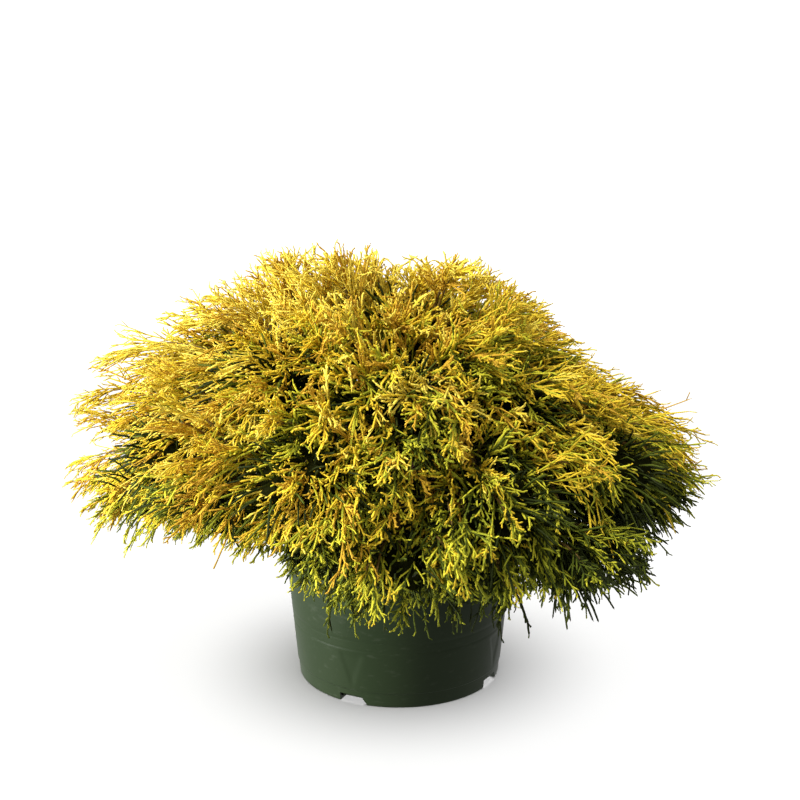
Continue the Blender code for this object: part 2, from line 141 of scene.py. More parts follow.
# The foliage. Two values in a row are the least and the most.
PLUME_COUNT = 130
PLUME_REACH = (0.88, 1.00)
PLUME_TAPER = 90.0
PLUME_PULL = 0.15
LEADER_COUNT = 1010
LEADER_REACH = (0.72, 0.94)
LEADER_RADIUS = 0.0017
LEADER_SOURCE = np.array((0.0, 0.0, 0.24))
TIP_CROWDING = 1.10
LOWEST_TIP_DEG = -55.0
ARCH = 0.22
TUFT_LEADERS = 3
TUFT_REACH = (0.82, 0.93)
SPRAYS_ON_LEADER = 6
SPRAY_LENGTH = (0.036, 0.075)
SPRAY_RADIUS = (0.00082, 0.00104)
SPRAY_STEPS = (0.0, 0.2, 0.4, 0.6, 0.93, 1.0)
SPRAY_PROFILE = (1.0, 0.82, 1.0, 0.80, 0.92, 0.4)
SPRAY_SHADE = 0.14
SHORTEST_SPRAY = 0.012
SHORTENINGS = 8
SIDES_ON_SPRAY = 3
STUBS_ON_SPRAY = 5
BARE_LENGTH = 0.0065
LONG_STUBS = (0.005, 0.013)
SHORT_STUBS = (0.0034, 0.0085)
HEART_THREADS = 220
HEART_LENGTH = (0.016, 0.044)
HEART_RADIUS = (0.0009, 0.0013)
HANGING_SHARE = 0.22
HANGING_LENGTH = (0.014, 0.034)
HANGING_RADIUS = (0.0007, 0.0009)
LIMB_ROOM = 0.004
SPRAY_ROOM = 0.003
SIDE_ROOM = 0.002
SPACE_OVERLAP = 0.028
BOX_ROOM = 0.007
GOLDEN_ANGLE = math.pi * (3.0 - math.sqrt(5.0))
UP = np.array((0.0, 0.0, 1.0))
MIDDLE = np.array((0.0, 0.0, WIDEST_Z + 0.03))

# Where the hem is thinner or shorter: azimuth, width and loss.
HEM_THINNING = ((LOBE_DEG, 75.0, 0.95), (268.0, 80.0, 0.95), (175.0, 95.0, 0.80))
MOST_THINNING = 0.86
THIN_BELOW = -0.12
HEM_LOSSES = ((LOBE_DEG, 50.0, 0.08), (-14.0, 28.0, 0.12), (216.0, 32.0, 0.11), (-62.0, 26.0, 0.08))
GROUND_CLEARANCE = 0.025
LEFT_HEM_ZONE = (204.0, 66.0)
LEFT_HEM_Z = 0.168
LEFT_HEM_RISE = 0.45
LEFT_HEM_RADIUS = 0.18
RIGHT_HEM_ZONE = (-15.0, 50.0)
RIGHT_HEM_Z = 0.080
RIGHT_HEM_RISE = 1.18
RIGHT_HEM_RADIUS = 0.20

# The gold value, which sets each thread's tint: partly the foliage's own colour, golden outside and greener
# inside and below, and partly painted light and shade. What the surface, the lit top and the lit left add to
# its base as painted light, and what shaded places take as painted shade.
GOLD_BASE = 0.10
GOLD_AND_LIGHT_SURFACE = 0.66
GOLD_AND_LIGHT_TOP = 0.30
GOLD_AND_LIGHT_LEFT = 0.18
SHADE_LEFT_HEM = 0.05
SHADE_LOW = 0.24
SHADE_LOBE = 0.35
SHADE_RIGHT = 0.08
SHADE_FRONT = 0.19
GOLD_SPREAD = 0.10

# The stage.
STAGE_STEPS = 96
NEAR_FLOOR = 1.25
STAGE_FLOOR = 5.0
STAGE_SWEEP = 3.0
STAGE_WALL = 12.0
FLOOR_SHADE = 0.42
FLOOR_GLOW = 0.02
BOWL_SHADE = 0.80
BOWL_GLOW = 0.78

# The lights. The energy is in watts a square metre for a sun, and in watts for a soft box.
AIM = np.array((0.0, 0.0, 0.2))
KEY_PLACE = (-0.62, -0.29, 1.22)
KEY_ENERGY = 4.4
KEY_WIDTH_DEG = 14.0
KEY_COLOUR = (1.0, 0.985, 0.93)
SOFTBOX_PLACE = (-1.35, -0.38, 0.30)
SOFTBOX_SIZE = (0.5, 0.9)
PLANT_SOFTBOX_ENERGY = 34.0
POT_SOFTBOX_ENERGY = 84.0
FLOOR_LIGHT_PLACE = (0.0, -0.05, 2.0)
FLOOR_LIGHT_ENERGY = 6.4
FLOOR_LIGHT_WIDTH_DEG = 44.0
WORLD_COLOUR = (1.0, 1.0, 0.985, 1.0)
WORLD_STRENGTH = 0.68

# The tips of the tufts that stand out of the crown's outline. A search moved those at the outline from given
# places, to fit the photograph's outline.
TUFT_TIPS = np.array((
    (-0.308, -0.017, 0.165), (-0.323, 0.039, 0.175), (-0.291, 0.020, 0.266), (-0.253, 0.013, 0.330),
    (-0.234, 0.004, 0.307), (-0.171, 0.010, 0.364), (-0.114, 0.022, 0.393), (-0.095, -0.014, 0.394),
    (-0.055, -0.029, 0.405), (-0.021, 0.034, 0.383), (0.029, 0.008, 0.385), (0.050, -0.038, 0.401),
    (0.102, -0.008, 0.366), (0.085, 0.023, 0.372), (0.133, 0.060, 0.332), (0.165, 0.001, 0.295),
    (0.165, -0.054, 0.299), (0.212, 0.028, 0.273), (0.280, 0.026, 0.224), (0.266, 0.029, 0.199),
    (0.289, -0.002, 0.196), (0.263, -0.025, 0.173), (-0.074, -0.222, 0.268), (-0.054, -0.232, 0.244),
    (-0.088, -0.226, 0.240), (-0.080, -0.165, 0.142), (-0.052, -0.170, 0.136), (-0.034, -0.172, 0.134),
    (0.010, -0.170, 0.130), (0.030, -0.172, 0.140), (0.062, -0.165, 0.138), (0.092, -0.155, 0.124),
    (-0.302, -0.007, 0.160), (-0.298, 0.022, 0.140),
))

# The tints of the threads, from the deep shade to the sunlit tips, and the gold value where each begins. The
# darker tints are partly painted shade and the paler ones partly painted light, over the foliage's own greens
# and golds. The first three are greens. Amber is dealt out to a share of the golden sprays.
TINTS = (
    ("deep_green", (0.017, 0.024, 0.002), -9.0),
    ("green", (0.076, 0.098, 0.008), 0.26),
    ("olive", (0.275, 0.290, 0.018), 0.43),
    ("lime", (0.550, 0.520, 0.034), 0.56),
    ("gold", (0.760, 0.545, 0.034), 0.72),
    ("pale_gold", (0.840, 0.665, 0.090), 1.00),
    ("amber", (0.580, 0.350, 0.028), 9.0),
)
GREEN_TINTS = 3
AMBER_SHARE = 0.18
AMBER_FROM = 0.60
AMBER_GOLD = 10.0


def unit(vectors):
    """The vectors at length 1."""
    return vectors / np.maximum(np.linalg.norm(vectors, axis=-1, keepdims=True), 1e-12)


def column(values):
    """The values as a column, to multiply rows of vectors."""
    return np.asarray(values)[..., None]


def polar(radius, azimuth, height):
    """Points at that distance from the upright axis, azimuth from +X towards +Y."""
    radius, azimuth, height = np.broadcast_arrays(radius, azimuth, height)
    return np.stack((radius * np.cos(azimuth), radius * np.sin(azimuth), height), axis=-1)


def azimuth_of(points):
    """Each point's azimuth, from +X towards +Y."""
    return np.arctan2(points[..., 1], points[..., 0])


def full_turn(steps):
    """Angles at even steps round the circle."""
    return np.linspace(0.0, 2.0 * np.pi, steps, endpoint=False)


def curve_points(start, control, end, steps):
    """Points on the curve (1-t)^2 start + 2t(1-t) control + t^2 end, as rows of steps + 1 points."""
    t = np.linspace(0.0, 1.0, steps + 1)[:, None]
    start, control, end = (np.asarray(point)[..., None, :] for point in (start, control, end))
    return (1.0 - t) ** 2 * start + 2.0 * t * (1.0 - t) * control + t**2 * end


def bent_paths(root, way, bend, length, steps):
    """Paths that leave along their way and bend off it: root + length (t way + t^2 bend), at those steps."""
    t = np.array(steps)[:, None]
    return root[:, None] + (way[:, None] * t + bend[..., None, :] * t**2) * length[:, None, None]


def along_paths(paths, share):
    """Each path's point at that share of its steps, and its direction there."""
    last = paths.shape[1] - 1
    place = np.clip(share, 0.0, 1.0) * last
    step = np.minimum(place.astype(int), last - 1)
    rows = np.arange(len(paths))
    low, high = paths[rows, step], paths[rows, step + 1]
    return low + (high - low) * column(place - step), unit(high - low)


def closeness(azimuth, centre_deg, width_deg):
    """1 at that azimuth, falling by half a cosine wave to 0 at the width to either side."""
    turn = azimuth - math.radians(centre_deg)
    away = np.abs(np.arctan2(np.sin(turn), np.cos(turn)))
    return 0.5 + 0.5 * np.cos(np.pi * np.minimum(1.0, away / math.radians(width_deg)))


def wall_radius(height):
    """The pot wall's outer radius at a height above the foot band."""
    return FOOT_RADIUS + FOOT_STEP + WALL_SLOPE * height


def crown_power(azimuth):
    """The crown's squareness: 2 is a round dome, more is fuller at the shoulder, less is hollower."""
    full = LEFT_FULLNESS * closeness(azimuth, 165.0, 100.0)
    return ROUNDNESS + full - RIGHT_HOLLOW * closeness(azimuth, 20.0, 95.0)


def widest_level(azimuth):
    """The height at which the crown is widest."""
    return WIDEST_Z + FRONT_LEFT_LIFT * closeness(azimuth, 230.0, 55.0)


def hem_drop(azimuth):
    """How far the hem hangs below the crown's widest level."""
    sides = SIDE_DROP * np.cos(2.0 * azimuth)
    return HEM_DROP + sides + LOBE_DROP * closeness(azimuth, LOBE_DEG, LOBE_WIDTH_DEG)


def crown_depth(azimuth, up):
    """How far the crown goes up from its widest level, or down where up isn't above 0."""
    return np.where(up > 0.0, CROWN_TOP_Z - widest_level(azimuth), hem_drop(azimuth))


def crown_reach(azimuth, angle):
    """The crown's size there, about 1, with lumps that stand out or in."""
    lumps = LUMP * np.sin(3.0 * azimuth + 0.6) * np.cos(angle)
    lumps = lumps + 0.6 * LUMP * np.sin(5.0 * azimuth + 4.0 * angle)
    return 1.0 - DEPTH_LOSS * np.sin(azimuth) ** 2 * np.cos(angle) ** 2 + lumps


def crown_share(points):
    """Each point's share of the way from the crown's middle to its surface."""
    azimuth = azimuth_of(points)
    power = crown_power(azimuth)
    up = points[..., 2] - widest_level(azimuth)
    out = (np.hypot(points[..., 0], points[..., 1]) / CROWN_RADIUS) ** power
    rise = (np.abs(up) / crown_depth(azimuth, up)) ** power
    angle = np.copysign(np.arctan2(np.sqrt(rise), np.sqrt(out)), up)
    return (out + rise) ** (1.0 / power) / crown_reach(azimuth, angle)


def crown_point(azimuth, angle, share=1.0):
    """Points of the crown: azimuth round the stem, and angle up the dome or, below 0, down the hem."""
    azimuth, angle = np.broadcast_arrays(np.asarray(azimuth, float), np.asarray(angle, float))
    middle = column(widest_level(azimuth)) * UP
    way = polar(CROWN_RADIUS * np.cos(angle), azimuth, crown_depth(azimuth, angle) * np.sin(angle))
    return middle + way * column(share / crown_share(middle + way))


def stem_path():
    """The stem's centre line and radii, with a slight lean above the flare."""
    share, radii = np.array(STEM_TAPER).T
    foot = SOIL_EDGE_HEIGHT + SOIL_RISE + SEAT_GAP
    lean = column(np.maximum(0.0, share - share[1])) * STEM_LEAN
    return column(foot + share * STEM_HEIGHT) * UP + lean, radii


def on_stem(rise):
    """The stem's centre and radius at a height above its foot."""
    points, radii = stem_path()
    height = points[0, 2] + rise
    centre = np.array([np.interp(height, points[:, 2], points[:, axis]) for axis in range(3)])
    return centre, float(np.interp(height, points[:, 2], radii))


class Mass:
    """One mass of foliage: its centre, its heart, the bough that carries it and the stalk it grows from."""

    def __init__(self, whorl, number, centre, tip, way, bough=None):
        self.whorl = whorl
        self.number = number
        self.centre = centre
        self.bough = bough
        root = tip + way * SEAT_GAP
        self.heart = centre + (root - centre) * HEART_PLACE
        collar = root + way * COLLAR
        control = collar + way * np.linalg.norm(self.heart - root) * 0.4
        self.stalk = np.vstack((root, curve_points(collar, control, self.heart, 8)))


def plan_masses():
    """The mass on the stem's tip and those on the boughs of each whorl, as in the solids' source."""
    masses = [Mass("top", 0, crown_point(0.0, math.pi / 2.0, TOP_CENTRE_SHARE), stem_path()[0][-1], UP)]
    for whorl, count, first_deg, angle_deg, share, rise, tip_radius, tip_height in WHORLS:
        for index in range(count):
            azimuth = math.radians(first_deg + 360.0 * index / count)
            centre = crown_point(azimuth, math.radians(angle_deg), share)
            height = rise + WHORL_STAGGER * (index % 2)
            stem_radius = on_stem(height - BOUGH_RADIUS)[1]
            start = on_stem(height)[0] + polar(stem_radius + SEAT_GAP, azimuth, 0.0)
            collar = start + polar(COLLAR, azimuth, 0.0)
            tip = polar(tip_radius, azimuth, tip_height)
            control = (collar + tip) / 2.0 + UP * BOUGH_LIFT
            curve = curve_points(collar, control, tip, 3)
            bough = np.vstack((start, curve_points(collar, control, tip, 24)))
            masses.append(Mass(whorl, index + 1, centre, tip, unit(curve[-1] - curve[-2]), bough))
    return masses


class Threads(namedtuple("Threads", "paths radii mass gold facing")):
    """Rows of twigs of one level: paths, radii along them, each one's mass, gold value and facing. A thread's
    gold value sets its tint, partly its own colour and partly painted light and shade.

    A leader's gold value is the share of the crown that its sprays may reach, or 0 where its plume sets that.
    """

    def kept(self, mask):
        """The rows that the mask keeps."""
        return Threads(*(field[mask] for field in self))


def joined_rows(parts):
    """Several sets of threads as one."""
    return Threads(*(np.concatenate(fields) for fields in zip(*parts)))


def clear_of_pot(paths, room):
    """True where a whole path is that far outside the pot, and well above the ground."""
    height = paths[..., 2]
    beside = np.hypot(paths[..., 0], paths[..., 1]) > wall_radius(height) + RIM_PROUD + room
    return np.all((beside | (height > POT_HEIGHT + room)) & (height > GROUND_CLEARANCE), axis=1)


def in_box(points, box, room):
    """True where a point is no further than that outside the box."""
    return np.all((points > np.array(box[0]) - room) & (points < np.array(box[1]) + room), axis=-1)


def lowest_hang(points):
    """How low foliage may hang: on the left wing and on the right lobe a cone that rises outwards."""
    azimuth = azimuth_of(points)
    radius = np.hypot(points[..., 0], points[..., 1])
    left = LEFT_HEM_Z + LEFT_HEM_RISE * np.maximum(0.0, -np.sin(azimuth)) * (radius - LEFT_HEM_RADIUS)
    right = RIGHT_HEM_Z + RIGHT_HEM_RISE * np.maximum(0.0, radius - RIGHT_HEM_RADIUS)
    on_left = np.minimum(1.0, 2.0 * closeness(azimuth, *LEFT_HEM_ZONE))
    on_right = np.minimum(1.0, 2.0 * closeness(azimuth, *RIGHT_HEM_ZONE))
    return GROUND_CLEARANCE + (left - GROUND_CLEARANCE) * on_left + (right - GROUND_CLEARANCE) * on_right


def in_own_space(paths, mass, centres):
    """True where a whole path is no further than the overlap beyond its mass's share of the space."""
    own = centres[mass][:, None]
    inside = np.ones(len(paths), bool)
    for other in centres:
        across = other - own
        wide = np.maximum(np.linalg.norm(across, axis=-1), 1e-9)
        beyond = np.sum((paths - (other + own) / 2.0) * across, axis=-1) / wide
        inside &= np.all((beyond < SPACE_OVERLAP) | (wide < 1e-6), axis=1)
    return inside


def crown_height(points):
    """How high on the crown a point is: 1 at the top, 0 at the widest level, down to -1 at the hem."""
    azimuth = azimuth_of(points)
    up = points[..., 2] - widest_level(azimuth)
    return np.clip(up / crown_depth(azimuth, up), -1.0, 1.0)


def outward(points):
    """The way out of the crown's middle at each point."""
    return unit(points - MIDDLE)


def gold_and_painted_light(points, limit, chance):
    """How golden foliage is: more near the surface and on the top and left, less low down and in the lobe.
    This is partly the foliage's own colour and partly painted light and shade: paler where the key light
    falls on the top and left, darker deep inside, low down, at the front, on the right and in the lobe, where
    shade falls.
    """
    azimuth = azimuth_of(points)
    height = crown_height(points)
    # Painted light and shade, over the foliage's own colour: deep threads darker, the lit top and left paler
    # gold, the low hem, the lobe, the right and the front darker.
    surface = np.clip((crown_share(points) - limit + 0.30) / 0.26, 0.0, 1.0) ** 1.3
    lobe = closeness(azimuth, LOBE_DEG + 2.0, 60.0) * np.clip(1.15 - 3.0 * height, 0.0, 1.0)
    front = closeness(azimuth, 285.0, 70.0) * np.clip(0.95 - height, 0.0, 1.0)
    low = np.clip(0.20 - height, 0.0, 1.0)
    gold = GOLD_BASE + GOLD_AND_LIGHT_SURFACE * surface + GOLD_AND_LIGHT_TOP * np.clip(height, 0.0, 1.0)
    gold = gold - SHADE_LOW * low - SHADE_LOBE * lobe - SHADE_RIGHT * closeness(azimuth, 0.0, 80.0)
    gold = gold - SHADE_FRONT * front
    left = GOLD_AND_LIGHT_LEFT * np.clip(3.0 * height, 0.0, 1.0) - SHADE_LEFT_HEM
    gold = gold + closeness(azimuth, 195.0, 90.0) * left
    return gold + chance.normal(0.0, GOLD_SPREAD, len(points))


class Plumes:
    """Clumps of foliage that stand out of the crown, each round an axis from its middle to a tip."""

    def __init__(self, chance):
        index = np.arange(PLUME_COUNT)
        bottom = math.sin(math.radians(LOWEST_TIP_DEG))
        height = 1.0 + (bottom - 1.0) * (index + chance.uniform(0.2, 0.8, PLUME_COUNT)) / PLUME_COUNT
        azimuth = index * GOLDEN_ANGLE + chance.normal(0.0, 0.10, PLUME_COUNT)
        self.reach = chance.uniform(*PLUME_REACH, PLUME_COUNT)
        self.tips = crown_point(azimuth, np.arcsin(height), self.reach)

    def nearest(self, points):
        """The number of the nearest plume's tip."""
        return np.argmin(np.linalg.norm(points[:, None] - self.tips[None], axis=2), axis=1)

    def limit(self, points):
        """The share of the crown that foliage may reach: a plume's reach, less the square of the distance."""
        number = self.nearest(points)
        axis = outward(self.tips[number])
        away = points - self.tips[number]
        along = np.sum(away * axis, axis=1)
        aside = np.sqrt(np.maximum(np.sum(away**2, axis=1) - along**2, 0.0))
        azimuth, height = azimuth_of(points), crown_height(points)
        reach = self.reach[number] + 0.03 * np.clip(2.0 * height - 0.8, 0.0, 1.0)
        for centre, width, loss in HEM_LOSSES:
            reach = reach - loss * closeness(azimuth, centre, width) * (height < -0.1)
        return np.maximum(reach - PLUME_TAPER * aside**2, 0.70)


def grow_leaders(masses, plumes, chance):
    """Leaders to tips that the golden angle spreads over the crown, fewer at the hem where it is thin."""
    index = np.arange(LEADER_COUNT)
    bottom = math.sin(math.radians(LOWEST_TIP_DEG))
    share = (index + chance.uniform(0.0, 1.0, LEADER_COUNT)) / LEADER_COUNT
    height = 1.0 + (bottom - 1.0) * share**TIP_CROWDING
    azimuth = index * GOLDEN_ANGLE + chance.normal(0.0, 0.06, LEADER_COUNT)
    thin = sum(loss * closeness(azimuth, centre, width) for centre, width, loss in HEM_THINNING)
    thin = np.minimum(thin, MOST_THINNING) * (height < THIN_BELOW)
    grown = chance.uniform(0.0, 1.0, LEADER_COUNT) > thin
    tips = crown_point(azimuth[grown], np.arcsin(height[grown]))
    tips = tips + (plumes.tips[plumes.nearest(tips)] - tips) * PLUME_PULL
    reach = chance.uniform(*LEADER_REACH, len(tips)) * plumes.limit(tips) / crown_share(tips)
    return leaders_to(MIDDLE + (tips - MIDDLE) * column(reach), np.zeros(len(tips)), masses)


def grow_tufts(masses, chance):
    """Leaders that end a little short of the tufts' tips."""
    tips = np.repeat(TUFT_TIPS, TUFT_LEADERS, axis=0)
    ends = MIDDLE + (tips - MIDDLE) * column(chance.uniform(*TUFT_REACH, len(tips)))
    return leaders_to(ends + chance.normal(0.0, 0.008, ends.shape), crown_share(tips), masses)


def leaders_to(tips, limit, masses):
    """Leaders that rise from the cores of the nearest masses and arch over to those tips."""
    centres = np.array([mass.centre for mass in masses])
    hearts = np.array([mass.heart for mass in masses])
    mass = np.argmin(np.linalg.norm(tips[:, None] - centres[None], axis=2), axis=1)
    inner = tips + (LEADER_SOURCE - tips) * 0.42 - hearts[mass]
    core_share = np.linalg.norm(inner / CORE_SIZE, axis=1)
    start = hearts[mass] + inner * column(np.minimum(1.0, 0.80 / core_share))
    length = np.linalg.norm(tips - start, axis=1)
    control = start + (tips - start) * 0.55 + column(ARCH * length) * UP
    paths = curve_points(start, control, tips, 5)
    radii = np.linspace(1.0, 0.62, 6) * column(np.full(len(tips), LEADER_RADIUS))
    leaders = Threads(paths, radii, mass, limit, outward(tips))
    return leaders.kept(clear_of_pot(paths, LIMB_ROOM))


def combing(points):
    """How straight and level sprays lie: 1 on the long left wing, less to the right, 0 high on the dome."""
    azimuth = azimuth_of(points)
    wings = np.maximum(closeness(azimuth, 190.0, 85.0), 0.6 * closeness(azimuth, 5.0, 60.0))
    return wings * np.clip(1.5 - 1.3 * np.abs(crown_height(points)), 0.0, 1.0)


def spaced(first, span, number, total, count, chance):
    """Shares of the way in the span's step of that number, out of the total, spread by chance."""
    return first + span * (number + chance.uniform(0.1, 0.9, count)) / total


def spray_row(leaders, number, plumes, box, chance):
    """One spray on each leader, at its tip for the last number, and the sprays' lengths.

    Each leaves at a slant to a side, left and right by turns, and sags and sways by the square of the way
    along. It is shortened until it ends within its plume, in the box and above the lowest hang.
    """
    count = len(leaders.paths)
    last = number == SPRAYS_ON_LEADER
    share = np.ones(count) if last else spaced(0.30, 0.66, number, SPRAYS_ON_LEADER, count, chance)
    root, along = along_paths(leaders.paths, share)
    azimuth = azimuth_of(root)
    out = outward(root)
    comb = combing(root)
    across = unit(np.cross(along, out))
    lift = np.cross(across, along)
    roll = chance.uniform(-0.9, 1.1, count)
    side = across * column(np.cos(roll) * (1.0 if number % 2 else -1.0)) + lift * column(np.sin(roll))
    slant = np.radians(chance.uniform(*((4.0, 14.0) if last else (15.0, 45.0)), count)) * (1.0 - 0.55 * comb)
    way = along * column(np.cos(slant)) + side * column(np.sin(slant))
    low = np.clip(0.5 - crown_height(root), 0.0, 1.0)
    front = closeness(azimuth, 275.0, 75.0)
    lobe = closeness(azimuth, LOBE_DEG, 60.0) * (low > 0.55)
    left = closeness(azimuth, 218.0, 75.0)
    fall = 0.25 * low * (1.0 - 0.8 * left) + 0.22 * comb + 0.35 * (front * np.clip(low * 1.6 - 0.5, 0.0, 1.0))
    way = unit(way + out * 0.20 - UP * column(fall))
    sag = chance.uniform(0.0, 0.30, count) + (0.40 - 0.42 * left) * low + 0.20 * lobe
    length = chance.uniform(*SPRAY_LENGTH, count) * (1.0 + 0.45 * comb + 0.10 * lobe) * (1.15 - 0.30 * share)
    spare = chance.uniform(-0.04, 0.04, count)
    spare = spare - (0.13 * comb + 0.10 * lobe) * chance.uniform(-0.1, 1.0, count)
    sway = column(chance.normal(0.0, 0.30, count) * (1.0 - 0.7 * comb))
    sway = -UP * column(sag) + side * sway + lift * column(chance.normal(0.0, 0.18, count) * (1.0 - comb))
    for _ in range(SHORTENINGS):
        end = root + (way + sway) * column(length)
        limit = np.where(leaders.gold > 0.5, leaders.gold, plumes.limit(end) + spare)
        far = (crown_share(end) > limit) | ~in_box(end, box, 0.0) | (end[:, 2] < lowest_hang(end))
        length = np.where(far, length * 0.86, length)
    paths = bent_paths(root, way, sway, length, SPRAY_STEPS)
    profile = np.array(SPRAY_PROFILE) * chance.uniform(0.86, 1.14, (count, 6))
    radii = profile * column(chance.uniform(*SPRAY_RADIUS, count) * (1.0 + 0.25 * front - 0.12 * comb))
    # The tint's gold value, with painted light and shade by place on the crown.
    gold = gold_and_painted_light(paths[:, 3], plumes.limit(paths[:, 3]), chance)
    return Threads(paths, radii, leaders.mass, gold, unit(out + chance.normal(0.0, 0.45, (count, 3)))), length


def grow_sprays(leaders, masses, plumes, box, chance):
    """Sprays along the leaders and at their tips, but for those that touch the pot or leave their space."""
    centres = np.array([mass.centre for mass in masses])
    made = []
    for number in range(SPRAYS_ON_LEADER + 1):
        sprays, length = spray_row(leaders, number, plumes, box, chance)
        fits = clear_of_pot(sprays.paths, SPRAY_ROOM) & (length > SHORTEST_SPRAY)
        made.append(sprays.kept(fits & in_own_space(sprays.paths, sprays.mass, centres)))
    return joined_rows(made)


def slanted(along, across, slant, spread, chance):
    """Ways that leave the first way towards the second at those slants, spread a little by chance."""
    way = along * column(np.cos(slant)) + across * column(np.sin(slant))
    return unit(way + chance.normal(0.0, spread, along.shape))


def grow_side_threads(sprays, chance):
    """Side threads, left and right by turns in the spray's plane, that bend back towards the spray's way."""
    count = len(sprays.paths)
    size = np.linalg.norm(sprays.paths[:, -1] - sprays.paths[:, 0], axis=1)
    comb = combing(sprays.paths[:, 0])
    made = []
    for number in range(SIDES_ON_SPRAY):
        share = spaced(0.14, 0.78, number, SIDES_ON_SPRAY, count, chance)
        root, along = along_paths(sprays.paths, share)
        across = unit(np.cross(sprays.facing, along)) * (1.0 if number % 2 else -1.0)
        slant = np.radians(chance.uniform(20.0, 42.0, count)) * (1.0 - 0.50 * comb)
        way = slanted(along, across, slant, 0.07, chance)
        length = size * (1.0 - share) * chance.uniform(0.34, 0.78, count)
        length = length + chance.uniform(0.004, 0.007, count)
        bend = along * column(chance.uniform(-0.1, 0.40, count)) - UP * 0.08
        bend = bend + across * column(chance.normal(0.0, 0.15, count))
        paths = bent_paths(root, way, bend, length, (0.0, 0.5, 0.9, 1.0))
        radii = np.array((0.85, 1.0, 0.9, 0.4)) * chance.uniform(0.85, 1.12, (count, 4))
        radii = radii * column(sprays.radii[:, 0] * chance.uniform(0.82, 0.98, count))
        made.append(Threads(paths, radii, sprays.mass, sprays.gold + 0.04 + 0.08 * share, sprays.facing))
    return joined_rows(made)


def grow_stubs(bearers, each, lengths, chance):
    """Short blunt stubs, left and right by turns in the thread's plane, shorter towards its tip."""
    size = np.linalg.norm(bearers.paths[:, -1] - bearers.paths[:, 0], axis=1)
    bearers, size = bearers.kept(size > BARE_LENGTH), size[size > BARE_LENGTH]
    count = len(size)
    made = []
    for number in range(each):
        share = spaced(0.20, 0.72, number, each, count, chance)
        root, along = along_paths(bearers.paths, share)
        turns = chance.choice((-1.0, 1.0), count) if number == 0 else -turns
        across = unit(np.cross(bearers.facing, along)) * column(turns)
        way = slanted(along, across, np.radians(chance.uniform(24.0, 46.0, count)), 0.10, chance)
        length = np.clip(size * (1.15 - share) * chance.uniform(0.22, 0.50, count), *lengths)
        paths = bent_paths(root, way, along * 0.15, length, (0.0, 0.85, 1.0))
        radii = np.array((0.85, 0.95, 0.4)) * column(bearers.radii[:, 0] * chance.uniform(0.82, 0.98, count))
        made.append(Threads(paths, radii, bearers.mass, bearers.gold + 0.08, bearers.facing))
    return joined_rows(made)


def grow_hanging_threads(sprays, chance):
    """Thin threads that hang from the ends of the lowest sprays: each goes on along it and turns down."""
    ends = sprays.paths[:, -1]
    low = ends[:, 2] < WIDEST_Z - 0.02 + 0.02 * closeness(azimuth_of(ends), 215.0, 60.0)
    bearers = sprays.kept(low & (chance.uniform(0.0, 1.0, len(ends)) < HANGING_SHARE))
    count = len(bearers.paths)
    root, along = bearers.paths[:, -2], unit(bearers.paths[:, -1] - bearers.paths[:, -2])
    length = chance.uniform(*HANGING_LENGTH, count)
    aside = chance.normal(0.0, 0.16, (count, 3)) * np.array((1.0, 1.0, 0.0))
    way, drop = along * 0.75 + aside, -UP * 0.75 - along * 0.35 - 1.3 * aside
    paths = bent_paths(root, way, drop, length, (0.0, 0.18, 0.36, 0.54, 0.72, 0.95, 1.0))
    radii = np.array((1.1, 0.8, 1.15, 0.8, 1.1, 0.8, 0.4)) * column(chance.uniform(*HANGING_RADIUS, count))
    threads = Threads(paths, radii, bearers.mass, bearers.gold - 0.02, bearers.facing)
    hung = paths[:, -1, 2] > lowest_hang(paths[:, -1]) - chance.uniform(0.0, 0.025, count)
    return threads.kept(clear_of_pot(paths, SPRAY_ROOM) & hung)


def grow_heart_threads(masses, chance):
    """Threads all round each mass's heart, spread over its surface by the golden angle, and painted dark
    green as the shade inside the mass.
    """
    made = []
    index = np.arange(HEART_THREADS)
    height = 1.0 - 2.0 * (index + 0.5) / HEART_THREADS
    way = polar(np.sqrt(1.0 - height**2), index * GOLDEN_ANGLE, height)
    for number, mass in enumerate(masses):
        spread = unit(way + chance.normal(0.0, 0.25, way.shape))
        length = chance.uniform(*HEART_LENGTH, HEART_THREADS)
        root = mass.heart + way * CORE_SIZE * 0.72
        paths = bent_paths(root, spread, -0.3 * UP, length, (0.0, 0.5, 0.93, 1.0))
        radii = np.array((1.0, 1.0, 0.8, 0.4)) * column(chance.uniform(*HEART_RADIUS, HEART_THREADS))
        # Painted shade: a low gold value gives these threads the dark green tints.
        gold = chance.normal(0.24, 0.09, HEART_THREADS)
        made.append(Threads(paths, radii, np.full(HEART_THREADS, number), gold, spread[:, [1, 2, 0]]))
    threads = joined_rows(made)
    return threads.kept(clear_of_pot(threads.paths, SPRAY_ROOM) & (crown_share(threads.paths[:, -1]) < 0.92))


def ring_quads(rows, around):
    """Four-cornered faces between rows of corners that follow each other round an axis."""
    low, spot = np.meshgrid(np.arange(rows - 1) * around, np.arange(around), indexing="ij")
    high, after = low + around, (spot + 1) % around
    return np.stack((low + spot, high + spot, high + after, low + after), axis=-1).reshape(-1, 4)


def ring_walls(rows, around):
    """The same faces cut into triangles."""
    quads = ring_quads(rows, around)
    return np.concatenate((quads[:, (0, 1, 2)], quads[:, (0, 2, 3)]))


def closed_rings(rows, around):
    """Triangles between the rows, and from the first and last row to the two poles that follow them."""
    spot = np.arange(around)
    after = (spot + 1) % around
    last, pole = (rows - 1) * around, np.full(around, rows * around)
    first_cap = np.stack((spot, after, pole), axis=1)
    last_cap = np.stack((last + after, last + spot, pole + 1), axis=1)
    return np.concatenate((ring_walls(rows, around), first_cap, last_cap))


def copied_faces(faces, corners, count):
    """The faces of that many copies of a shape of so many corners, one copy after another."""
    return (faces[None] + np.arange(count)[:, None, None] * corners).reshape(-1, 3)


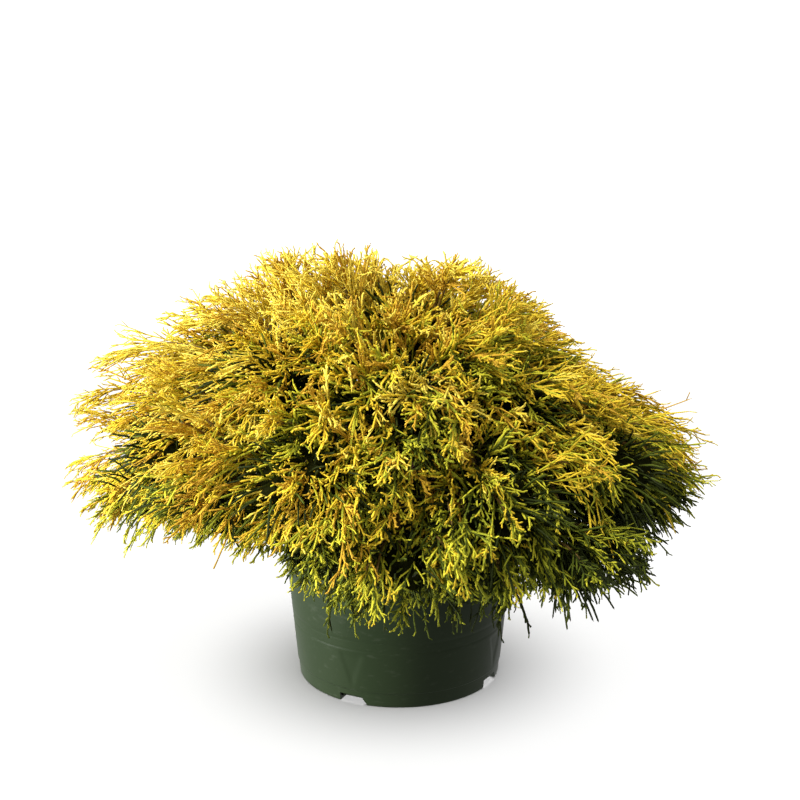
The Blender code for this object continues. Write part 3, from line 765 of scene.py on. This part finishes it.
def thread_mesh(threads):
    """Three-cornered twigs: three corners round each step but the last, a point at the tip, a closed root.

    A corner is the path's point plus radius times (side cos a + lift sin a), for a = 0, 120 and 240 degrees.
    """
    paths, radii = threads.paths, threads.radii
    count, rings = len(paths), paths.shape[1] - 1
    along = unit(np.gradient(paths, axis=1))[:, :rings]
    side = unit(np.cross(along, threads.facing[:, None]))
    lift = np.cross(along, side)
    turn = np.radians((0.0, 120.0, 240.0))
    spread = side[:, :, None] * np.cos(turn)[:, None] + lift[:, :, None] * np.sin(turn)[:, None]
    corners = paths[:, :rings, None] + spread * radii[:, :rings, None, None]
    points = np.concatenate((corners.reshape(count, rings * 3, 3), paths[:, -1:]), axis=1)
    tip = 3 * rings
    caps = [(2, 1, 0), (tip - 3, tip - 2, tip), (tip - 2, tip - 1, tip), (tip - 1, tip - 3, tip)]
    faces = np.concatenate((ring_walls(rings, 3)[:, ::-1], caps))
    return points.reshape(-1, 3), copied_faces(faces, tip + 1, count)


def joined_meshes(parts):
    """Several (points, triangles) pairs as one."""
    starts = np.cumsum([0] + [len(points) for points, faces in parts[:-1]])
    faces = np.concatenate([faces + start for (points, faces), start in zip(parts, starts)])
    return np.concatenate([points for points, faces in parts]), faces


def new_object(name, data):
    """An object in the scene with that data."""
    made = bpy.data.objects.new(name, data)
    bpy.context.scene.collection.objects.link(made)
    return made


def add_piece(name, points, faces, finish, slot, replaced=(), smooth=True):
    """A new piece from its corners and its faces of three or four corners, riding on the root body."""
    mesh = bpy.data.meshes.new(name)
    mesh.vertices.add(len(points))
    mesh.vertices.foreach_set("co", np.ascontiguousarray(points, np.float32).ravel())
    mesh.loops.add(faces.size)
    mesh.loops.foreach_set("vertex_index", np.ascontiguousarray(faces, np.int32).ravel())
    mesh.polygons.add(len(faces))
    mesh.polygons.foreach_set("loop_start", np.arange(0, faces.size, faces.shape[1], dtype=np.int32))
    mesh.update(calc_edges=True)
    mesh.validate()
    if smooth:
        mesh.shade_smooth()
    mesh.materials.append(finish)
    piece = new_object(name, mesh)
    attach(piece, "root")
    if replaced:
        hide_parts(*replaced)
    return piece


class Value:
    """An output socket. Sums and products with it add Math nodes to its material."""

    def __init__(self, finish, socket):
        self.finish = finish
        self.socket = socket

    def __add__(self, other):
        return self.finish.maths("ADD", self, other)

    def __radd__(self, other):
        return self.finish.maths("ADD", other, self)

    def __mul__(self, other):
        return self.finish.maths("MULTIPLY", self, other)

    def __rmul__(self, other):
        return self.finish.maths("MULTIPLY", other, self)


class Finish:
    """A material with a Principled shader, and the nodes that feed it."""

    def __init__(self, name, colour, roughness, specular):
        self.material = bpy.data.materials.new(name)
        self.material.use_nodes = True
        self.tree = self.material.node_tree
        self.shader = self.tree.nodes["Principled BSDF"]
        self.shader.inputs["Base Color"].default_value = (*colour, 1.0)
        self.shader.inputs["Roughness"].default_value = roughness
        self.shader.inputs["Specular IOR Level"].default_value = specular

    def node(self, kind, settings, inputs, output=0):
        """One output of a new node of that type, with its settings, and with its sockets set or linked."""
        node = self.tree.nodes.new(kind)
        for name, value in settings.items():
            setattr(node, name, value)
        for name, value in inputs.items():
            if isinstance(value, Value):
                self.tree.links.new(value.socket, node.inputs[name])
            else:
                node.inputs[name].default_value = value
        return Value(self, node.outputs[output])

    def maths(self, operation, first, second):
        """A Math node on two values or sockets."""
        return self.node("ShaderNodeMath", {"operation": operation}, {0: first, 1: second})

    def place(self, stretch):
        """The object coordinates, stretched."""
        coordinates = self.node("ShaderNodeTexCoord", {}, {}, "Object")
        return self.node("ShaderNodeMapping", {}, {"Vector": coordinates, "Scale": stretch})

    def noise(self, scale, detail=3.0, stretch=(1.0, 1.0, 1.0)):
        """Noise from 0 to 1 on the object coordinates."""
        inputs = {"Vector": self.place(stretch), "Scale": scale, "Detail": detail}
        return self.node("ShaderNodeTexNoise", {}, inputs)

    def cells(self, scale):
        """The distance to the nearest cell centre, from 0."""
        inputs = {"Vector": self.place((1.0, 1.0, 1.0)), "Scale": scale}
        return self.node("ShaderNodeTexVoronoi", {}, inputs, "Distance")

    def between(self, value, low, high):
        """The value's share of the way from low to high, held within 0 and 1."""
        inputs = {"Value": value, "From Min": low, "From Max": high}
        return self.node("ShaderNodeMapRange", {"clamp": True}, inputs)

    def mixed(self, share, first, second):
        """A colour between two colours."""
        first, second = (value if isinstance(value, Value) else (*value, 1.0) for value in (first, second))
        return self.node("ShaderNodeMix", {"data_type": "RGBA"}, {0: share, 6: first, 7: second}, 2)

    def feed(self, name, value):
        """Links a value to the shader."""
        self.tree.links.new(value.socket, self.shader.inputs[name])

    def bump(self, height, distance, strength):
        """Relief from a height value."""
        inputs = {"Height": height, "Distance": distance, "Strength": strength}
        self.feed("Normal", self.node("ShaderNodeBump", {}, inputs))


def bark_finish():
    """Thin reddish brown bark: grey-brown flakes along the limb over a warmer ground."""
    finish = Finish("stem_bark", (0.15, 0.08, 0.045), 0.85, 0.25)
    flakes = finish.noise(140.0, 4.0, (1.0, 1.0, 0.28))
    grain = finish.noise(620.0, 3.0, (1.0, 1.0, 0.20))
    ground = finish.mixed(grain, (0.090, 0.042, 0.022), (0.210, 0.115, 0.062))
    finish.feed("Base Color", finish.mixed(finish.between(flakes, 0.50, 0.68), ground, (0.270, 0.205, 0.150)))
    finish.bump(flakes * 0.7 + grain * 0.3, 0.0012, 0.8)
    return finish.material


def soil_finish():
    """Moist potting mix: dark crumbs with browner fibres."""
    finish = Finish("potting_mix", (0.040, 0.027, 0.018), 0.95, 0.2)
    crumbs = finish.noise(160.0, 6.0)
    fibres = finish.noise(420.0, 3.0, (1.0, 0.3, 1.0))
    dark = finish.mixed(crumbs, (0.018, 0.011, 0.007), (0.085, 0.052, 0.032))
    finish.feed("Base Color", finish.mixed(finish.between(fibres, 0.56, 0.72), dark, (0.150, 0.094, 0.055)))
    finish.bump(crumbs + finish.cells(230.0) * 0.6, 0.003, 0.9)
    return finish.material


def chip_finish():
    """Composted bark chips."""
    finish = Finish("bark_chip", (0.11, 0.06, 0.035), 0.9, 0.2)
    grain = finish.noise(300.0, 4.0, (1.0, 0.35, 1.0))
    finish.feed("Base Color", finish.mixed(grain, (0.040, 0.022, 0.013), (0.230, 0.130, 0.075)))
    finish.bump(grain, 0.0008, 0.7)
    return finish.material


def pot_finish():
    """Dark green moulded plastic: satin, with faint flow marks and scuffs that lighten it."""
    finish = Finish("green_plastic", (0.009, 0.015, 0.007), 0.42, 0.10)
    flow = finish.noise(18.0, 3.0, (1.0, 1.0, 0.35))
    scuffs = finish.between(finish.noise(95.0, 5.0, (1.0, 1.0, 2.6)), 0.58, 0.80)
    plastic = finish.mixed(flow, (0.0095, 0.0165, 0.0065), (0.014, 0.0225, 0.0085))
    finish.feed("Base Color", finish.mixed(scuffs * 0.18, plastic, (0.070, 0.080, 0.058)))
    finish.feed("Roughness", 0.34 + flow * 0.14 + scuffs * 0.16)
    finish.bump(finish.noise(900.0, 2.0) * 0.3 + flow, 0.00035, 0.5)
    return finish.material


def thread_finish(tint_name, colour):
    """Cords of tiny scale leaves: matte, with the scales as relief."""
    finish = Finish(f"{tint_name}_thread", colour, 0.6, 0.12)
    finish.bump(finish.cells(900.0), 0.0006, 0.7)
    return finish.material


def painted_shade_core_finish():
    """The heart of a mass, painted near-black as the shade deep inside the foliage, over a mottle of dead
    brown and deep green scales.
    """
    finish = Finish("painted_shade_heart", (0.006, 0.007, 0.002), 1.0, 0.0)
    scales = finish.noise(260.0, 4.0)
    finish.feed("Base Color", finish.mixed(scales, (0.002, 0.003, 0.001), (0.016, 0.017, 0.004)))
    finish.bump(scales, 0.004, 1.0)
    return finish.material


def tube_surface(path, radii, around, relief, chance):
    """A closed limb with ridged bark: radius times 1 + relief times ridges that run along it and wander."""
    steps = len(path)
    along = unit(np.gradient(path, axis=0))
    start = unit(np.cross(along, np.array((0.31, 0.87, 0.38))))
    lift = np.cross(along, start)
    turn = full_turn(around)
    run = np.linspace(0.0, 1.0, steps)
    phase = chance.uniform(0.0, 6.28, 5)
    ridges = sum(
        np.sin(waves * turn[None] + phase[wave] + 2.2 * np.sin(3.0 * run[:, None] * (wave + 1) + phase[wave]))
        for wave, waves in enumerate((3, 5, 8, 11, 14))
    ) / 5.0
    size = radii[:, None] * (1.0 + relief * ridges)
    ring = start[:, None] * np.cos(turn)[None, :, None] + lift[:, None] * np.sin(turn)[None, :, None]
    points = path[:, None] + ring * size[:, :, None]
    points = np.concatenate((points.reshape(-1, 3), path[:1], path[-1:]))
    return points, closed_rings(steps, around)[:, ::-1]


def make_limbs(masses, bark, chance):
    """The stem and boughs with the bark's relief, where their solids are."""
    points, radii = stem_path()
    height = np.linspace(points[0, 2], points[-1, 2], 70)
    path = np.stack([np.interp(height, points[:, 2], points[:, axis]) for axis in range(3)], axis=1)
    smooth = np.interp(height, points[:, 2], radii)
    add_piece("stem_with_bark", *tube_surface(path, smooth, 56, 0.10, chance), bark, "bark", ("stem",))
    for whorl in WHORLS:
        parts, nodes = [], []
        for mass in masses:
            if mass.whorl == whorl[0]:
                radii = np.linspace(BOUGH_RADIUS, BOUGH_TIP_RADIUS, len(mass.bough))
                parts.append(tube_surface(mass.bough, radii, 18, 0.09, chance))
                nodes.append(f"bough_{mass.whorl}_{mass.number}")
        add_piece(f"{whorl[0]}_boughs_with_bark", *joined_meshes(parts), bark, "bark", nodes)


def ball(rows, around):
    """A unit ball as a grid of rows and spots round it, with one corner at each pole."""
    angle = np.linspace(-np.pi / 2.0, np.pi / 2.0, rows + 2)[1:-1]
    turn = full_turn(around)
    ring = polar(np.cos(angle)[:, None], turn[None], np.sin(angle)[:, None]).reshape(-1, 3)
    return np.concatenate((ring, -UP[None], UP[None])), closed_rings(rows, around)[:, ::-1]


def make_cores(masses, chance):
    """The dense heart inside each mass, painted near-black as the shade deep in the foliage: a ball pushed in
    and out by three waves, inside its solid's core.
    """
    shape, faces = ball(14, 24)
    parts = []
    for mass in masses:
        waves = np.sin(np.array(CORE_WAVES) * shape + chance.uniform(0.0, 6.28, 3)).sum(axis=1)
        size = CORE_SHARE * (1.0 + 0.16 * waves) * (SKIRT_CORE if mass.whorl == "skirt" else 1.0)
        parts.append((mass.heart + shape * CORE_SIZE * column(size), faces))
    nodes = [f"foliage_{mass.whorl}" + (f"_{mass.number}" if mass.number else "") for mass in masses]
    # A near-black ball inside each mass, as painted shade.
    add_piece("painted_shade_hearts", *joined_meshes(parts), painted_shade_core_finish(), "green_foliage", nodes)


def make_twigs(masses, leaders, chance):
    """The leaders, and the stalks from which they rise."""
    twig = Finish("young_twig", (0.17, 0.105, 0.025), 0.7, 0.2).material
    stalks = []
    for mass in masses:
        radii = np.linspace(BOUGH_TIP_RADIUS, 0.0016, len(mass.stalk))
        stalks.append(tube_surface(mass.stalk, radii, 8, 0.05, chance))
    add_piece("stalks", *joined_meshes(stalks), twig, "bark")
    add_piece("leader_twigs", *thread_mesh(leaders), twig, "bark")


def make_threads(levels, masses, box):
    """The threads of all levels, joined by whorl and tint into pieces of less than 200,000 triangles."""
    whorl_names = ["top"] + [whorl[0] for whorl in WHORLS]
    whorl_of_mass = np.array([whorl_names.index(mass.whorl) for mass in masses])
    starts = np.array([tint[2] for tint in TINTS])
    for tint, (tint_name, colour, _) in enumerate(TINTS):
        finish = thread_finish(tint_name, colour)
        slot = "green_foliage" if tint < GREEN_TINTS else "gold_foliage"
        for whorl, whorl_name in enumerate(whorl_names):
            parts = []
            for level in levels:
                rows = np.searchsorted(starts, level.gold, side="right") - 1 == tint
                rows &= in_box(level.paths[:, -1], box, BOX_ROOM) & (whorl_of_mass[level.mass] == whorl)
                if rows.any():
                    parts.append(thread_mesh(level.kept(rows)))
            if parts:
                add_piece(f"{whorl_name}_{tint_name}_threads", *joined_meshes(parts), finish, slot)


def make_foliage(masses, box, chance, tuft_chance):
    """All twigs and threads. Amber is dealt out by spray, and a spray's thread is darker than its sides."""
    plumes = Plumes(chance)
    leaders, tufts = grow_leaders(masses, plumes, chance), grow_tufts(masses, tuft_chance)
    crown_sprays = grow_sprays(leaders, masses, plumes, box, chance)
    sprays = joined_rows((crown_sprays, grow_sprays(tufts, masses, plumes, box, tuft_chance)))
    amber = chance.uniform(0.0, 1.0, len(sprays.gold)) < AMBER_SHARE
    sprays = sprays._replace(gold=np.where(amber & (sprays.gold > AMBER_FROM), AMBER_GOLD, sprays.gold))
    sides = grow_side_threads(sprays, chance)
    sides = sides.kept(clear_of_pot(sides.paths, SIDE_ROOM))
    roots = sides.paths[:, 0]
    in_lobe = closeness(azimuth_of(roots), LOBE_DEG, 60.0) * (roots[:, 2] < WIDEST_Z)
    lobe = sides.kept(chance.uniform(0.0, 1.0, len(roots)) < in_lobe)
    heart_threads = grow_heart_threads(masses, chance)
    hanging = grow_hanging_threads(sprays, chance)
    bearers = ((sprays, STUBS_ON_SPRAY, LONG_STUBS), (sides, 2, SHORT_STUBS), (lobe, 1, SHORT_STUBS))
    bearers += ((hanging, 2, SHORT_STUBS),)
    stubs = joined_rows([grow_stubs(*bearer, chance) for bearer in bearers])
    sprays = sprays._replace(gold=sprays.gold - SPRAY_SHADE)
    make_twigs(masses, joined_rows((leaders, tufts)), chance)
    make_threads((sprays, sides, stubs, heart_threads, hanging), masses, box)


def on_wall(heights, inwards=0.0):
    """Points of the half section on the pot's outer wall at those heights, or that far inside it."""
    return [(wall_radius(height) - inwards, height) for height in heights]


def pot_outline():
    """The pot's half section from the middle of the inner floor, over the rim, to the middle of the foot."""
    turn = np.radians(np.linspace(0.0, 90.0, 5))
    across, up = np.cos(turn), np.sin(turn)
    inner = wall_radius(FLOOR_THICKNESS) - FOOT_STEP - WALL_THICKNESS
    section = [(0.0, FLOOR_THICKNESS), (inner - 0.002, FLOOR_THICKNESS), (inner, FLOOR_THICKNESS + 0.002)]
    section += on_wall(np.linspace(0.02, POT_HEIGHT - 0.003, 8), WALL_THICKNESS)
    lip = wall_radius(POT_HEIGHT) - WALL_THICKNESS + LIP_ROUND
    section += zip(lip - LIP_ROUND * across, POT_HEIGHT - LIP_ROUND + LIP_ROUND * up)
    rim = wall_radius(POT_HEIGHT) + RIM_PROUD
    section += zip(rim - RIM_ROUND + RIM_ROUND * up, POT_HEIGHT - RIM_ROUND + RIM_ROUND * across)
    under = POT_HEIGHT - RIM_DEPTH
    section += [(rim - 0.0004, under + 0.0015), (rim - 0.0015, under), (wall_radius(under) + 0.0008, under)]
    low, high = RIB_HEIGHTS
    groove = 0.4 * RIB_DEPTH
    band = 0.35 * groove
    section.append((wall_radius(under), under - 0.0010))
    section += on_wall((*np.linspace(under - 0.006, high + 0.004, 16), high + 0.0008))
    section += on_wall((high,), groove) + on_wall((high - 0.0010, 0.062, 0.0595, 0.057, low + 0.0010), band)
    section += on_wall((low,), groove)
    section += on_wall((low - 0.0008, *np.linspace(low - 0.003, FOOT_BAND_HEIGHT + 0.003, 14)))
    section.append((wall_radius(FOOT_BAND_HEIGHT), FOOT_BAND_HEIGHT + 0.0004))
    section.append((wall_radius(FOOT_BAND_HEIGHT) - FOOT_STEP, FOOT_BAND_HEIGHT - 0.0006))
    section += [(FOOT_RADIUS + WALL_SLOPE * height, height) for height in (0.010, 0.006, 0.003)]
    section += zip(FOOT_RADIUS - 0.0010 + 0.0011 * across, 0.0010 - 0.0010 * up)
    return np.array(section + [(0.0, 0.0)])


def turned_surface(radius, height, first_pole, last_pole):
    """A closed surface round the axis, from rows of radii and heights: the point at row r and step s is
    (radius cos a, radius sin a, height) with a = 360 s / steps, and a pole on the axis closes each end.
    """
    rows, around = radius.shape
    turn = full_turn(around)
    points = polar(radius, turn[None], height).reshape(-1, 3)
    points = np.concatenate((points, ((0.0, 0.0, first_pole), (0.0, 0.0, last_pole))))
    return points, closed_rings(rows, around)


def make_pot():
    """The pot: its outline turned about the axis, with a shallow triangular recess above each drain notch."""
    section = pot_outline()
    turn = full_turn(POT_STEPS)
    radius, height = (np.repeat(section[1:-1, field, None], POT_STEPS, axis=1) for field in (0, 1))
    outside = (np.arange(len(radius)) > len(section) // 3)[:, None]
    rise = np.clip((height - FOOT_BAND_HEIGHT) / (RECESS_TOP - FOOT_BAND_HEIGHT), 0.0, 1.0)
    inside = (height > FOOT_BAND_HEIGHT + 0.0005) & (height < RECESS_TOP) & outside
    centres = [math.radians(FIRST_NOTCH_DEG + 360.0 * notch / NOTCH_COUNT) for notch in range(NOTCH_COUNT)]
    for centre in centres:
        away = np.abs(np.arctan2(np.sin(turn - centre), np.cos(turn - centre)))[None] * radius
        edge = np.clip((0.5 * RECESS_WIDTH * rise - away) / RECESS_EDGE, 0.0, 1.0)
        radius = radius - RECESS_DEPTH * edge * inside
    surface = turned_surface(radius, height, section[0, 1], section[-1, 1])
    pot = add_piece("moulded_pot", *surface, pot_finish(), "pot_plastic", ("pot",))
    for centre in centres:
        cut_notch(pot, centre)
    pot.data.set_sharp_from_angle(angle=math.radians(SHARP_DEG))
    return pot


def cut_notch(pot, azimuth):
    """Cuts one drain notch through wall and floor: upright on one side and sloping on the other."""
    half, high = NOTCH_WIDTH / 2.0, NOTCH_HEIGHT
    profile = np.array(((-half, -0.01), (half, -0.01), (half, 0.0), (half - 0.006, high), (-half, high)))
    flat = [np.column_stack((np.full(5, FOOT_RADIUS + out), profile)) for out in (-NOTCH_DEPTH, NOTCH_DEPTH)]
    flat = np.concatenate(flat)
    turned = polar(1.0, azimuth, 0.0)
    across = polar(1.0, azimuth + math.pi / 2.0, 0.0)
    points = column(flat[:, 0]) * turned + column(flat[:, 1]) * across + column(flat[:, 2]) * UP
    sides = [(i, (i + 1) % 5, (i + 1) % 5 + 5, i + 5) for i in range(5)]
    mesh = bpy.data.meshes.new("notch_shape")
    mesh.from_pydata(points.tolist(), [], [(4, 3, 2, 1, 0), (5, 6, 7, 8, 9)] + sides)
    shape = new_object("notch_shape", mesh)
    cut = pot.modifiers.new("notch", "BOOLEAN")
    cut.operation = "DIFFERENCE"
    cut.object = shape
    cut.solver = "EXACT"
    bpy.context.view_layer.update()
    made = bpy.data.meshes.new_from_object(pot.evaluated_get(bpy.context.evaluated_depsgraph_get()))
    pot.modifiers.clear()
    pot.data = made
    bpy.data.objects.remove(shape)


def make_soil():
    """The potting mix, with its foot drawn in from the drain notches."""
    edge = wall_radius(SOIL_EDGE_HEIGHT)
    clear = WALL_THICKNESS + SEAT_GAP
    floor = FLOOR_THICKNESS + SEAT_GAP
    drop = SOIL_RISE * (1.0 - np.array(SOIL_PROFILE[1]))
    section = np.column_stack((np.array(SOIL_PROFILE[0]) * edge, SOIL_EDGE_HEIGHT + SOIL_RISE - drop))[1:]
    section[-1, 0] = edge - clear
    foot = ((wall_radius(SOIL_FOOT_HEIGHT) - clear, SOIL_FOOT_HEIGHT), (SOIL_FOOT_RADIUS, floor))
    section = np.vstack((section, foot))
    radius, height = (np.repeat(section[:, field, None], SOIL_STEPS, axis=1) for field in (0, 1))
    surface = turned_surface(radius, height, SOIL_EDGE_HEIGHT + SOIL_RISE, floor)
    add_piece("potting_mix_fill", *surface, soil_finish(), "potting_mix", ("soil",))


def make_chips(chance):
    """Bark chips bedded in the top of the potting mix: balls made uneven by a sine wave, with three sizes."""
    edge = wall_radius(SOIL_EDGE_HEIGHT)
    shape, faces = ball(3, 6)
    radius = (edge - WALL_THICKNESS - CHIP_ROOM) * np.sqrt(chance.uniform(0.04, 1.0, CHIP_COUNT))
    azimuth = chance.uniform(0.0, 2.0 * np.pi, CHIP_COUNT)
    level = SOIL_EDGE_HEIGHT + SOIL_RISE * np.interp(radius / edge, *SOIL_PROFILE)
    size = column(chance.uniform(*CHIP_SIZES, CHIP_COUNT)) * chance.uniform(*CHIP_SHAPES, (CHIP_COUNT, 3))
    turn = chance.uniform(0.0, 2.0 * np.pi, CHIP_COUNT)
    long_way = polar(1.0, turn, chance.uniform(-0.3, 0.3, CHIP_COUNT))
    wide_way = unit(np.cross(UP, long_way))
    thick_way = np.cross(long_way, wide_way)
    body = shape[None] * (1.0 + 0.2 * np.sin(9.0 * shape[None, :, :1] + turn[:, None, None])) * size[:, None]
    points = polar(radius, azimuth, level)[:, None] + body[..., :1] * long_way[:, None]
    points = points + body[..., 1:2] * wide_way[:, None] + body[..., 2:] * thick_way[:, None]
    faces = copied_faces(faces, len(shape), CHIP_COUNT)
    add_piece("bark_chips", points.reshape(-1, 3), faces, chip_finish(), "potting_mix", smooth=False)


def stage_piece(name, points, faces, shade, glow):
    """A pale matte piece of the stage with a faint glow of its own, which only the camera sees."""
    mesh = bpy.data.meshes.new(name)
    mesh.from_pydata(points.tolist(), [], faces)
    mesh.shade_smooth()
    piece = new_object(name, mesh)
    finish = Finish(name, (shade, shade, shade), 0.9, 0.0)
    finish.shader.inputs["Emission Color"].default_value = (1.0, 1.0, 1.0, 1.0)
    finish.shader.inputs["Emission Strength"].default_value = glow
    mesh.materials.append(finish.material)
    piece.visible_diffuse = piece.visible_glossy = piece.visible_shadow = False
    return piece


def make_stage():
    """A pale round floor, and a bowl from its edge on that sweeps up by a quarter circle into a wall."""
    turn = np.radians(np.linspace(0.0, 90.0, 13))
    level = np.linspace(NEAR_FLOOR, STAGE_FLOOR, 7)
    radius = np.concatenate((level, STAGE_FLOOR + STAGE_SWEEP * np.sin(turn)[1:]))
    height = np.concatenate((np.zeros(len(level)), STAGE_SWEEP - STAGE_SWEEP * np.cos(turn)[1:]))
    radius, height = np.append(radius, radius[-1]), np.append(height, STAGE_WALL)
    points = polar(radius[:, None], full_turn(STAGE_STEPS)[None], height[:, None]).reshape(-1, 3)
    faces = ring_quads(len(radius), STAGE_STEPS).tolist()
    bowl = stage_piece("pale_bowl", points, faces, BOWL_SHADE, BOWL_GLOW)
    disc = [list(range(STAGE_STEPS))]
    return stage_piece("pale_floor", points[:STAGE_STEPS], disc, FLOOR_SHADE, FLOOR_GLOW), bowl


def light_stage(floor, bowl, pot):
    """A high key light, soft boxes on the left for the plant and the pot, and an even light for the floor.

    None but the last lights the stage, and only the pot shades the floor.
    """
    key = add_light("key_light", "SUN", KEY_ENERGY, KEY_PLACE, (floor, bowl), "EXCLUDE")
    key.data.angle = math.radians(KEY_WIDTH_DEG)
    key.data.color = KEY_COLOUR
    for box in (
        add_light("left_softbox", "AREA", PLANT_SOFTBOX_ENERGY, SOFTBOX_PLACE, (floor, bowl, pot), "EXCLUDE"),
        add_light("pot_softbox", "AREA", POT_SOFTBOX_ENERGY, SOFTBOX_PLACE, (pot,), "INCLUDE"),
    ):
        box.data.shape = "RECTANGLE"
        box.data.size, box.data.size_y = SOFTBOX_SIZE
    even = add_light("floor_light", "SUN", FLOOR_LIGHT_ENERGY, FLOOR_LIGHT_PLACE, (floor,), "INCLUDE")
    even.data.angle = math.radians(FLOOR_LIGHT_WIDTH_DEG)
    shading = bpy.data.collections.new("floor_light_blockers")
    shading.objects.link(pot)
    even.light_linking.blocker_collection = shading
    world = bpy.data.worlds.new("studio")
    bpy.context.scene.world = world
    world.use_nodes = True
    background = world.node_tree.nodes["Background"]
    background.inputs["Color"].default_value = WORLD_COLOUR
    background.inputs["Strength"].default_value = WORLD_STRENGTH


def add_light(name, kind, energy, place, listed, state):
    """A light aimed at the plant's middle, that lights all but the listed pieces, or only those."""
    data = bpy.data.lights.new(name, kind)
    data.energy = energy
    lamp = new_object(name, data)
    look = unit(AIM - np.array(place))
    right = unit(np.cross(look, UP))
    rows = np.stack((right, np.cross(right, look), -look), axis=1)
    lamp.location = place
    lamp.rotation_euler = Matrix(rows.tolist()).to_euler()
    lit = bpy.data.collections.new(f"{name}_receivers")
    for number, piece in enumerate(listed):
        lit.objects.link(piece)
        lit.collection_objects[number].light_linking.link_state = state
    lamp.light_linking.receiver_collection = lit
    return lamp


def make_camera():
    """The photograph's viewpoint."""
    data = bpy.data.cameras.new("camera")
    data.lens = CAMERA_LENS
    data.sensor_width = CAMERA_SENSOR
    camera = new_object("camera", data)
    camera.location = CAMERA_PLACE
    camera.rotation_euler = (math.radians(90.0 + CAMERA_PITCH_DEG), 0.0, 0.0)
    bpy.context.scene.camera = camera


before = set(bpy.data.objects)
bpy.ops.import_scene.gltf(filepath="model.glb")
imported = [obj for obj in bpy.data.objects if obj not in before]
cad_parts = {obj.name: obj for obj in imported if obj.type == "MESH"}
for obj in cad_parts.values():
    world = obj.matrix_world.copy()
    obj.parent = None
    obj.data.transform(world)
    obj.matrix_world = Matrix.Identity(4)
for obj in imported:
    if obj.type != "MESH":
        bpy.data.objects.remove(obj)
solid_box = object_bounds()
chance = np.random.default_rng(SEED)
bpy.context.scene.view_settings.view_transform = "Standard"
make_camera()
floor, bowl = make_stage()
masses = plan_masses()
light_stage(floor, bowl, make_pot())
make_soil()
make_chips(chance)
make_limbs(masses, bark_finish(), chance)
make_cores(masses, chance)
make_foliage(masses, solid_box, np.random.default_rng(CROWN_SEED), np.random.default_rng(TUFT_SEED))
